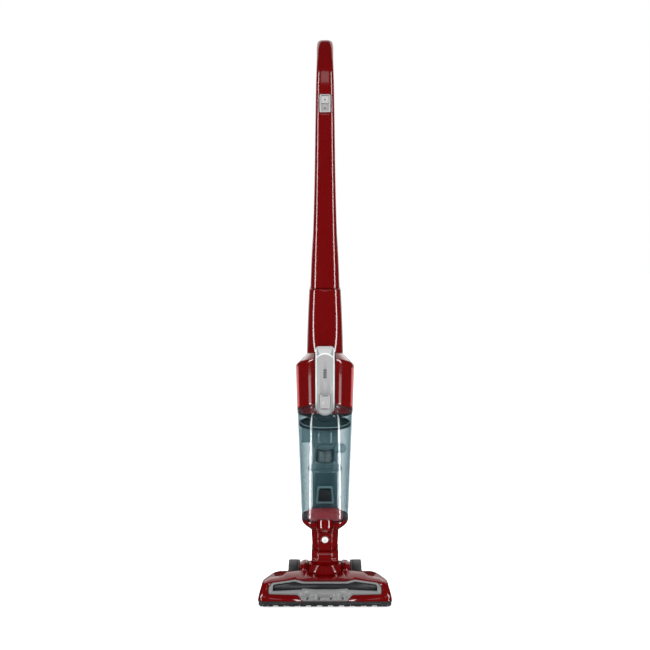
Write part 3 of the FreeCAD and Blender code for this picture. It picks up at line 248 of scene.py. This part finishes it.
# ---------------------------------------------------------------- materials, one per slot
RED = moulded("red_gloss", (0.096, 0.0004, 0.0008), (0.105, 0.0006, 0.0010), (0.10, 0.14),
              60.0, 0.0, coat=0.7, cloud=6.0, edge_mm=2.4)
BLACK = moulded("black_plastic", (0.017, 0.018, 0.020), (0.024, 0.025, 0.027), (0.34, 0.46),
                1400.0, 0.12)
DARK = moulded("dark_gloss", (0.048, 0.080, 0.088), (0.058, 0.094, 0.102), (0.16, 0.24),
               60.0, 0.0, coat=0.5, edge_mm=0.6)
SILVER = moulded("silver_paint", (0.255, 0.255, 0.258), (0.275, 0.275, 0.278), (0.34, 0.42),
                 900.0, 0.0, coat=0.3, edge_mm=0.7)
FASCIA = moulded("fascia_grey", (0.152, 0.153, 0.154), (0.166, 0.167, 0.168), (0.38, 0.46),
                 900.0, 0.0, coat=0.2, edge_mm=0.8)
WINDOW = moulded("smoked_window", (0.012, 0.013, 0.014), (0.020, 0.021, 0.022), (0.30, 0.36),
                 700.0, 0.01)
WINDOW.node_tree.nodes["Principled BSDF"].inputs["Specular IOR Level"].default_value = 0.2
RUBBER = moulded("rubber_black", (0.014, 0.022, 0.023), (0.020, 0.030, 0.031), (0.48, 0.62),
                 1800.0, 0.18)
TYRE = moulded("wheel_grey", (0.040, 0.041, 0.043), (0.055, 0.056, 0.058), (0.42, 0.55),
               1500.0, 0.16)
STEEL = moulded("steel", (0.55, 0.55, 0.56), (0.64, 0.64, 0.65), (0.2, 0.34), 700.0, 0.05,
                metallic=1.0, stretch=(0.08, 1.0, 1.0))
BRUSH = moulded("brush_grey", (0.075, 0.078, 0.082), (0.095, 0.098, 0.102), (0.36, 0.48),
                1400.0, 0.1)
BRISTLE = moulded("bristle", (0.035, 0.036, 0.040), (0.075, 0.02, 0.022), (0.38, 0.5),
                  1600.0, 0.0)
BOARD = moulded("pcb", (0.008, 0.10, 0.035), (0.012, 0.14, 0.05), (0.3, 0.4), 900.0, 0.06)
MOTOR = moulded("motor_metal", (0.42, 0.42, 0.43), (0.5, 0.5, 0.51), (0.26, 0.4), 900.0, 0.05,
                metallic=1.0, stretch=(1.0, 1.0, 0.1))
CELL = moulded("cell_wrap", (0.02, 0.10, 0.30), (0.025, 0.12, 0.36), (0.22, 0.32), 700.0, 0.04)
CLOTH = moulded("filter_cloth", (0.66, 0.66, 0.62), (0.74, 0.74, 0.70), (0.75, 0.9), 2600.0,
                0.35, sheen=0.3)
FOAM = moulded("foam", (0.05, 0.05, 0.055), (0.09, 0.09, 0.095), (0.85, 0.95), 1100.0, 0.9,
               sheen=0.2)
FELT = moulded("felt", (0.09, 0.09, 0.092), (0.13, 0.13, 0.132), (0.85, 0.95), 2200.0, 0.6,
               sheen=0.4)
CABLE = moulded("cable_sheath", (0.03, 0.03, 0.032), (0.05, 0.05, 0.052), (0.4, 0.5), 1200.0,
                0.1)
# Painted light: the collar's red is about twice as light as the body red, so it reads lit through
# the bin wall.
PAINTED_LIGHT_COLLAR_RED = moulded("collar_red_painted_light", (0.20, 0.004, 0.007), (0.22, 0.005, 0.008), (0.2, 0.3), 60.0, 0.0,
                 coat=0.4)
BIN = clear("bin_clear", (0.885, 0.915, 0.925), (0.60, 0.72, 0.75), (0.02, 0.04, 0.045),
            0.11, 0.40)
INNER = clear("inner_clear", (0.80, 0.86, 0.88), (0.50, 0.62, 0.65), (0.28, 0.42, 0.45),
              0.30, 0.62)
SCREEN = moulded("screen_wire", (0.012, 0.020, 0.022), (0.018, 0.028, 0.031), (0.3, 0.4),
                 900.0, 0.02, coat=0.3)
LENS = lit("lamp_clear", (0.045, 0.046, 0.048), (0.06, 0.061, 0.063), 0.02)
# Painted light: the liner is painted far lighter than the part is, standing in for light inside the
# core.
PAINTED_LIGHT_LINER = moulded("liner_painted_light", (0.72, 0.86, 0.88), (0.76, 0.90, 0.92), (0.3, 0.4), 60.0, 0.0,
                coat=0.3)
# Painted glow: the bead's bright teal stands in for light caught in a clear rim.
PAINTED_GLOW_RIM_TEAL = moulded("rim_teal_painted_glow", (0.42, 0.60, 0.62), (0.46, 0.64, 0.66), (0.15, 0.25), 60.0, 0.0,
                   coat=0.6)
DUCT = moulded("duct_teal", (0.19, 0.32, 0.35), (0.215, 0.35, 0.38), (0.20, 0.28), 60.0, 0.0,
               coat=0.4, edge_mm=0.6)
# Painted light: a red far lighter than the body red, so the pad under the bin floor reads lit
# through the tinted wall.
PAINTED_LIGHT_FLOOR_RED = moulded("floor_red_painted_light", (0.68, 0.050, 0.060), (0.74, 0.056, 0.068), (0.2, 0.3), 60.0,
                    0.0, coat=0.4)
WHITE = moulded("button_white", (0.70, 0.70, 0.70), (0.76, 0.76, 0.76), (0.25, 0.35), 60.0, 0.0,
                coat=0.3, edge_mm=0.4)
MARK = moulded("mark_grey", (0.055, 0.055, 0.056), (0.07, 0.07, 0.071), (0.4, 0.5), 60.0, 0.0)
PRINT_GREY = (0.060, 0.062, 0.063)


def painted_silver(name, tone=0.265):
    """Silver paint, with the tools that lay marks over it by place on the object: print marks, and
    on the panel painted highlights and painted shade.
    """
    made = moulded(name, (tone, tone, tone + 0.003), (tone + 0.02, tone + 0.02, tone + 0.023),
                   (0.34, 0.42), 900.0, 0.0, coat=0.3, edge_mm=0.7)
    tree = made.node_tree
    shader = tree.nodes["Principled BSDF"]
    place = tree.nodes.new("ShaderNodeTexCoord")
    axes = tree.nodes.new("ShaderNodeSeparateXYZ")
    tree.links.new(place.outputs["Object"], axes.inputs["Vector"])

    def combine(operation, first, second):
        node = tree.nodes.new("ShaderNodeMath")
        node.operation = operation
        for socket, value in zip(node.inputs, (first, second)):
            if isinstance(value, float):
                socket.default_value = value
            else:
                tree.links.new(value, socket)
        return node.outputs["Value"]

    def paint_over(mask, colour):
        layer = tree.nodes.new("ShaderNodeMix")
        layer.data_type = "RGBA"
        tree.links.new(mask, layer.inputs["Factor"])
        tree.links.new(shader.inputs["Base Color"].links[0].from_socket, layer.inputs["A"])
        layer.inputs["B"].default_value = (*colour, 1.0)
        tree.links.new(layer.outputs["Result"], shader.inputs["Base Color"])

    side = combine("ABSOLUTE", axes.outputs["X"], 0.0)
    return made, tree, side, axes.outputs["Z"], combine, paint_over


def marked_silver(name, marks, tone):
    """Each mark is (half width at its low end, at its high end, low z, high z), in mm."""
    made, tree, side, height, combine, paint_over = painted_silver(name, tone)
    for half_low, half_high, low, high in marks:
        half = spread(tree, height, half_low * MM, half_high * MM, low * MM, high * MM)
        inside = spread(tree, combine("SUBTRACT", half, side), 0.0, 1.0, 0.0, 0.2 * MM)
        over = spread(tree, height, 0.0, 1.0, low * MM, (low + 0.2) * MM)
        under = spread(tree, height, 1.0, 0.0, (high - 0.2) * MM, high * MM)
        paint_over(combine("MULTIPLY", inside, combine("MULTIPLY", over, under)), PRINT_GREY)
    return made


def panel_paint_with_painted_light():
    """Silver paint with painted light: a painted highlight band down both sides, a top facet
    painted lighter as if lit, a painted highlight line along its arc, and its outer corners painted
    darker as painted shade.
    """
    made, tree, side, height, combine, paint_over = painted_silver("panel_silver_painted_light")
    square = combine("MULTIPLY", side, side)
    arc = combine("ADD", height, combine("MULTIPLY", square, PANEL_ARC_BOW))
    # Painted highlight: the top facet above the arc is painted lighter, as if lit.
    above = spread(tree, arc, 0.0, 1.0, PANEL_ARC_HEIGHT, PANEL_ARC_HEIGHT + 0.8 * MM)
    paint_over(above, (0.40, 0.41, 0.41))
    # Painted shade: the facet's outer corners are painted darker.
    slant = combine("ADD", side, combine("MULTIPLY", height, -PANEL_CORNER_SLOPE))
    corner = spread(tree, slant, 0.0, 1.0, PANEL_CORNER_OFFSET, PANEL_CORNER_OFFSET + 0.7 * MM)
    paint_over(combine("MULTIPLY", above, corner), (0.20, 0.22, 0.22))
    # Painted highlight: a pale line along the facet's arc.
    highlight_line_height = PANEL_ARC_HEIGHT + 0.4 * MM
    offset = combine("ABSOLUTE", combine("SUBTRACT", arc, highlight_line_height), 0.0)
    line = spread(tree, offset, 1.0, 0.0, 0.6 * MM, 1.6 * MM)
    paint_over(line, (0.62, 0.63, 0.63))
    # Painted highlight: a pale bluish band down both sides.
    edge = spread(tree, side, 0.0, 1.0, PANEL_RIM_HIGHLIGHT_START, PANEL_RIM_HIGHLIGHT_START + 1.0 * MM)
    paint_over(edge, (0.52, 0.64, 0.65))
    return made


PANEL = panel_paint_with_painted_light()
BUTTON = marked_silver("button_silver", ((5.5, 5.5, 430.2, 432.2), (5.5, 5.5, 405.2, 406.4)),
                       0.28)
SLIDER = marked_silver("slider_silver", ((2.2, 0.0, 994.2, 998.4),), 0.34)
BEZEL = marked_silver("bezel_silver", ((0.0, 2.2, 978.0, 982.2), (7.5, 7.5, 1002.9, 1004.2)),
                      0.30)
LED = lit("charge_lamp", (0.045, 0.055, 0.055), (0.07, 0.08, 0.08), 0.0)

BY_SLOT = {
    "red_gloss": RED, "black_plastic": BLACK, "dark_gloss": DARK, "silver_paint": SILVER,
    "fascia_grey": FASCIA, "smoked_clear": WINDOW, "bin_clear": BIN, "inner_clear": INNER,
    "lamp_clear": LENS, "rubber_black": RUBBER, "wheel_grey": TYRE, "steel": STEEL,
    "bristle": BRISTLE, "brush_grey": BRUSH, "pcb": BOARD, "motor_metal": MOTOR,
    "cell_wrap": CELL, "filter_cloth": CLOTH, "foam": FOAM, "felt": FELT, "copper_wire": CABLE,
}
BY_NODE = {
    "charge_lamps": LED, "motor_bulkhead": RED, "spine_duct": DUCT, "inlet_frame": DUCT,
    "nozzle_release_button": WHITE, "control_panel": PANEL,
    "bin_release_button": BUTTON, "power_slider": SLIDER, "switch_bezel": BEZEL,
}


def dress_frame():
    """Every CAD node gets its material, by node or by slot, and smooth shading."""
    for part in frame["record"]["subparts"]:
        node = frame["nodes"][part["node"]]
        finish = BY_NODE.get(part["node"], BY_SLOT[part["material_slot"]])
        node.data.materials.clear()
        node.data.materials.append(finish)
        weld = node.modifiers.new("join_faces", "WELD")
        weld.merge_threshold = 0.01 * MM
        node.data.polygons.foreach_set("use_smooth", [True] * len(node.data.polygons))


# ---------------------------------------------------------------- fine pieces
def mesh_piece(name, points, faces, finish, body, smooth=True):
    mesh = bpy.data.meshes.new(name)
    mesh.from_pydata(points, [], faces)
    mesh.validate()
    mesh.polygons.foreach_set("use_smooth", [smooth] * len(mesh.polygons))
    mesh.materials.append(finish)
    piece = bpy.data.objects.new(name, mesh)
    bpy.context.scene.collection.objects.link(piece)
    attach(piece, body)
    return piece


def middle(node):
    low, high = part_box(node)
    return (low + high) / 2


def revolve(profile, segments, start=0.0, sweep=2 * math.pi):
    """Turns a closed (radius, z) outline about the Z axis; a full turn closes on itself."""
    full = abs(sweep - 2 * math.pi) < 1e-6
    rings = segments if full else segments + 1
    points, faces = [], []
    count = len(profile)
    for i in range(rings):
        turn = start + sweep * i / segments
        for r, z in profile:
            points.append((r * math.cos(turn), r * math.sin(turn), z))
    for i in range(segments):
        here, there = i * count, ((i + 1) % rings) * count
        for k in range(count):
            n = (k + 1) % count
            faces.append((here + k, there + k, there + n, here + n))
    if not full:
        faces.append(tuple(range(count)))
        faces.append(tuple(reversed(range(segments * count, (segments + 1) * count))))
    return points, faces


def make_bristles():
    """Each tuft is a fan of thin strands that spreads towards its tip."""
    draw = random.Random(7)
    low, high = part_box("brush_bristles")
    axis = middle("brush_core")
    core_r = (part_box("brush_core")[1].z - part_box("brush_core")[0].z) / 2
    tip_r = (high.z - low.z) / 2
    tuft_r = 1.9 * MM
    tufts, rows, strands = 22, 2, 26
    first, last = low.x + tuft_r, high.x - tuft_r
    points, faces = [], []
    for row in range(rows):
        for i in range(tufts):
            x = first + (last - first) * i / (tufts - 1)
            turn = 2 * math.pi * (row / rows + 0.75 * i / (tufts - 1))
            aim = Vector((0, math.cos(turn), math.sin(turn)))
            across = Vector((0, -aim.z, aim.y))
            for _ in range(strands):
                angle = draw.uniform(0, 2 * math.pi)
                reach = tuft_r * math.sqrt(draw.random())
                side_x, side_c = reach * math.cos(angle), reach * math.sin(angle)
                length = tip_r - draw.uniform(0.0, 0.9) * MM
                fan = draw.uniform(1.05, 1.45)
                start = Vector((x + side_x, axis.y, axis.z)) + aim * (core_r - 0.5 * MM)
                start += across * side_c
                end = Vector((x + side_x * fan, axis.y, axis.z)) + aim * length
                end += across * side_c * fan
                base = len(points)
                for at, thick in ((start, 0.16 * MM), (end, 0.09 * MM)):
                    for k in range(3):
                        spin = 2 * math.pi * k / 3
                        offset = Vector((math.cos(spin), 0, 0)) + across * math.sin(spin)
                        points.append(at + offset * thick)
                for k in range(3):
                    n = (k + 1) % 3
                    faces.append((base + k, base + n, base + 3 + n, base + 3 + k))
                faces.append((base + 2, base + 1, base))
                faces.append((base + 3, base + 4, base + 5))
    tuft_piece = mesh_piece("bristle_tufts", points, faces, BRISTLE, "brush_roll")
    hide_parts("brush_bristles")


def make_mesh_screen():
    """Woven screen of the shroud: upright wires and rings between two solid bands."""
    low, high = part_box("mesh_shroud")
    outer = (high.x - low.x) / 2
    band = 2.2 * MM
    wall = 1.2 * MM
    points, faces = [], []

    def add(more_points, more_faces):
        base = len(points)
        points.extend(more_points)
        faces.extend([tuple(base + i for i in face) for face in more_faces])

    for z0, z1 in ((low.z + 1.5 * MM, low.z + band + 1.5 * MM), (high.z - band, high.z)):
        add(*revolve([(outer, z0), (outer, z1), (outer - wall, z1), (outer - wall, z0)], 64))
    add(*revolve([(outer, low.z), (outer, low.z + 1.6 * MM), (0.4 * MM, low.z + 1.6 * MM),
                  (0.4 * MM, low.z)], 64))
    wires, rings, thick = 44, 15, 0.5 * MM
    z_start, z_end = low.z + band + 1.0 * MM, high.z - band + 0.5 * MM
    for i in range(rings):
        z = z_start + (z_end - z_start) * (i + 0.5) / rings
        r = outer - 0.55 * MM
        add(*revolve([(r + thick / 2, z - thick / 2), (r + thick / 2, z + thick / 2),
                      (r - thick / 2, z + thick / 2), (r - thick / 2, z - thick / 2)], 64))
    half = 0.5 * thick / outer
    for i in range(wires):
        turn = 2 * math.pi * i / wires
        width = 3.2 * half if i % (wires // 4) == 0 else half
        add(*revolve([(outer, z_start), (outer, z_end), (outer - 0.9 * MM, z_end),
                      (outer - 0.9 * MM, z_start)], 1, turn - width, 2 * width))
    screen = mesh_piece("shroud_screen", points, faces, SCREEN, "dust_bin", False)
    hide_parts("mesh_shroud")


def make_filter():
    """Pleated cone: folds with rounded crests between two moulded end rings."""
    low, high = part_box("pleated_filter")
    r_low, r_high = (high.x - low.x) / 2, (high.x - low.x) / 2 * 13.5 / 17.0
    pleats, around, levels = 36, 8, 10
    fold = 2.4 * MM
    points, faces = [], []
    count = pleats * around
    for level in range(levels + 1):
        t = level / levels
        z = low.z + 1.4 * MM + (high.z - low.z - 2.8 * MM) * t
        crest = r_low + (r_high - r_low) * t
        for i in range(count):
            phase = 2 * math.pi * i / around
            wave = 0.5 + 0.5 * math.cos(phase) * (1.15 - 0.15 * math.cos(phase) ** 2)
            r = crest - fold * (1.0 - wave)
            turn = 2 * math.pi * i / count
            points.append((r * math.cos(turn), r * math.sin(turn), z))
    for level in range(levels):
        for i in range(count):
            n = (i + 1) % count
            a, b = level * count, (level + 1) * count
            faces.append((a + i, a + n, b + n, b + i))
    faces.append(tuple(reversed(range(count))))
    faces.append(tuple(range(levels * count, (levels + 1) * count)))
    cloth = mesh_piece("filter_pleats", points, faces, CLOTH, "dust_bin")
    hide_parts("pleated_filter")
    points, faces = [], []
    for z0, z1, r in ((low.z, low.z + 1.5 * MM, r_low), (high.z - 1.5 * MM, high.z, r_high)):
        more_points, more_faces = revolve([(r, z0), (r, z1), (r * 0.55, z1), (r * 0.55, z0)], 72)
        base = len(points)
        points.extend(more_points)
        faces.extend([tuple(base + i for i in face) for face in more_faces])
    rings = mesh_piece("filter_end_rings", points, faces, BLACK, "dust_bin")
    bevel(rings, 0.3)


def make_rims():
    """Rounded bead on the separator's ring, painted bright teal as painted glow, and a liner inside
    the shroud for its clear tube, painted far lighter than it is as painted light.
    """
    ring_low, ring_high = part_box("separator_lid")
    radius = (ring_high.x - ring_low.x) / 2
    count = 10
    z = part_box("separator_gasket")[1].z + 1.4 * MM
    profile = [(radius - 0.3 * MM + BEAD_RADIUS * math.cos(2 * math.pi * k / count),
                z + BEAD_RADIUS * math.sin(2 * math.pi * k / count)) for k in range(count)]
    points, faces = revolve(profile, 96)
    mesh_piece("separator_bead", points, faces, PAINTED_GLOW_RIM_TEAL, "dust_bin")
    low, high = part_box("mesh_shroud")
    outer = (high.x - low.x) / 2 - 2.4 * MM
    inner = outer - 1.2 * MM
    bottom, top = low.z + 4.0 * MM, high.z + 2.0 * MM
    points, faces = revolve([(outer, bottom), (outer, top), (inner, top), (inner, bottom)], 64)
    mesh_piece("shroud_liner", points, faces, PAINTED_LIGHT_LINER, "dust_bin")


def make_collar():
    """Red collar under the drum that reaches into the bin, its lower edge sloping forward."""
    steps = 64
    points, faces = [], []
    for i in range(steps + 1):
        turn = math.pi + math.pi * i / steps
        for r in (COLLAR_RADIUS, COLLAR_RADIUS - COLLAR_WALL):
            x, y = r * math.cos(turn), r * math.sin(turn)
            points.append((x, y, COLLAR_HEIGHT - COLLAR_TAN * y))
            points.append((x, y, SEAM_HEIGHT - SEAM_TAN * y + 2.0 * MM))
    for i in range(steps):
        a, b = 4 * i, 4 * (i + 1)
        for first, second in ((0, 1), (1, 3), (3, 2), (2, 0)):
            faces.append((a + first, a + second, b + second, b + first))
    faces.append((0, 2, 3, 1))
    last = 4 * steps
    faces.append((last, last + 1, last + 3, last + 2))
    # A real red plug, its red painted lighter than the body red as painted light.
    mesh_piece("drum_collar", points, faces, PAINTED_LIGHT_COLLAR_RED, "main_body", False)


def rounded_plate(name, half_x, y0, y1, corner, z0, z1, finish, body):
    """A flat plate with rounded corners, from y0 to y1 and from z0 to z1."""
    outline, faces, steps = [], [], 8
    for cx, cy, start in ((half_x - corner, y1 - corner, 0), (corner - half_x, y1 - corner, 90),
                          (corner - half_x, y0 + corner, 180), (half_x - corner, y0 + corner, 270)):
        for k in range(steps + 1):
            turn = math.radians(start + 90.0 * k / steps)
            outline.append((cx + corner * math.cos(turn), cy + corner * math.sin(turn)))
    count = len(outline)
    points = [(x, y, z0) for x, y in outline] + [(x, y, z1) for x, y in outline]
    faces.append(tuple(reversed(range(count))))
    faces.append(tuple(range(count, 2 * count)))
    for k in range(count):
        n = (k + 1) % count
        faces.append((k, n, count + n, count + k))
    return mesh_piece(name, points, faces, finish, body, False)


def front_ring(name, x, y, z, radius, wire, finish, body):
    """A small raised ring that faces forward."""
    points, faces, around, section = [], [], 32, 6
    for i in range(around):
        turn = 2 * math.pi * i / around
        for k in range(section):
            spin = 2 * math.pi * k / section
            r = radius + wire * math.cos(spin)
            points.append((x + r * math.cos(turn), y + wire * math.sin(spin),
                           z + r * math.sin(turn)))
    for i in range(around):
        for k in range(section):
            a, b = i * section, (i + 1) % around * section
            n = (k + 1) % section
            faces.append((a + k, a + n, b + n, b + k))
    mesh_piece(name, points, faces, finish, body)


def make_marks():
    """A generic ring on the nozzle button; the other marks are in the paint."""
    low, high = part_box("nozzle_release_button")
    front_ring("button_ring", 0.0, low.y, (low.z + high.z) / 2, 1.9 * MM, 0.28 * MM, MARK,
               "nozzle_button")


def bevel(piece, size_mm):
    rounding = piece.modifiers.new("round_edges", "BEVEL")
    rounding.width = size_mm * MM
    rounding.segments = 3
    rounding.limit_method = "ANGLE"
    rounding.angle_limit = math.radians(35.0)
    rounding.harden_normals = True


# ---------------------------------------------------------------- studio
def area_light(name, place, target, width, height, radiance):
    """A soft panel, as bright as radiance in W/(m2 sr), that the camera doesn't see."""
    lamp = bpy.data.lights.new(name, "AREA")
    lamp.shape = "RECTANGLE"
    lamp.size = width
    lamp.size_y = height
    lamp.energy = radiance * math.pi * width * height
    holder = bpy.data.objects.new(name, lamp)
    holder.location = place
    aim = Vector(target) - Vector(place)
    holder.rotation_euler = aim.to_track_quat("-Z", "Y").to_euler()
    holder.visible_camera = False
    bpy.context.scene.collection.objects.link(holder)
    return lamp


def make_studio():
    scene = bpy.context.scene
    scene.view_settings.view_transform = "Standard"
    world = bpy.data.worlds.new("studio")
    world.use_nodes = True
    scene.world = world
    tree = world.node_tree
    plain = tree.nodes["Background"]
    plain.inputs["Color"].default_value = (1.0, 1.0, 1.0, 1.0)
    plain.inputs["Strength"].default_value = 1.0
    dim = tree.nodes.new("ShaderNodeBackground")
    dim.inputs["Color"].default_value = (1.0, 1.0, 1.0, 1.0)
    dim.inputs["Strength"].default_value = WORLD_GLOSSY_LEVEL
    path = tree.nodes.new("ShaderNodeLightPath")
    blend = tree.nodes.new("ShaderNodeMixShader")
    tree.links.new(path.outputs["Is Glossy Ray"], blend.inputs["Fac"])
    tree.links.new(plain.outputs["Background"], blend.inputs[1])
    tree.links.new(dim.outputs["Background"], blend.inputs[2])
    tree.links.new(blend.outputs["Shader"], tree.nodes["World Output"].inputs["Surface"])

    for side in (-1, 1):
        x = side * STRIP_REACH * math.sin(STRIP_TURN)
        y = -STRIP_REACH * math.cos(STRIP_TURN)
        for low, high, width, radiance in STRIPS:
            middle_z = (low + high) / 2
            area_light("strip", (x, y, middle_z), (0.0, 0.0, middle_z), width, high - low,
                       radiance)
        area_light("rim", (side * 0.95, 2.1, 0.6), (0.0, 0.0, 0.6), 0.8, 3.0, 0.6)
        glow = area_light("drum_edge", (side * 1.47, 1.63, -0.04), (0.0, 0.0, -0.04), 0.8, 0.26,
                          1.9)
        glow.color = (1.0, 0.22, 0.23)
    area_light("overhead", (0.0, 2.0, 1.9), (0.0, 0.0, 0.0), 5.0, 3.2, 1.0)
    fill = area_light("front_fill", (0.0, -2.4, 2.2), (0.0, 0.0, 0.5), 1.6, 0.8, 1.0)
    fill.specular_factor = 0.0

    bpy.ops.mesh.primitive_plane_add(size=FLOOR_SIZE, location=(0.0, 0.0, -0.0002))
    floor = bpy.context.object
    floor.name = "studio_floor"
    white = moulded("floor_white", (0.80, 0.80, 0.80), (0.82, 0.82, 0.82), (0.8, 0.9), 60.0, 0.0)
    shader = white.node_tree.nodes["Principled BSDF"]
    shader.inputs["Emission Color"].default_value = (1.0, 1.0, 1.0, 1.0)
    shader.inputs["Emission Strength"].default_value = FLOOR_GLOW
    floor.data.materials.append(white)
    floor.visible_glossy = False


def make_camera():
    eye = bpy.data.cameras.new("camera")
    eye.lens = LENS_LENGTH
    eye.sensor_width = 36.0
    holder = bpy.data.objects.new("camera", eye)
    holder.location = CAMERA_PLACE
    holder.rotation_euler = (math.radians(90.0 - CAMERA_DIP), 0.0, 0.0)
    bpy.context.scene.collection.objects.link(holder)
    bpy.context.scene.camera = holder


make_camera()
make_studio()
dress_frame()
make_bristles()
make_mesh_screen()
make_filter()
make_rims()
make_collar()
# The pad's red is painted light, far lighter than the real red.
rounded_plate("bin_floor_pad", 36.0 * MM, -36.0 * MM, 37.0 * MM, 16.0 * MM, FLOOR_TOP + 0.1 * MM,
              FLOOR_TOP + 0.6 * MM, PAINTED_LIGHT_FLOOR_RED, "dust_bin")
make_marks()
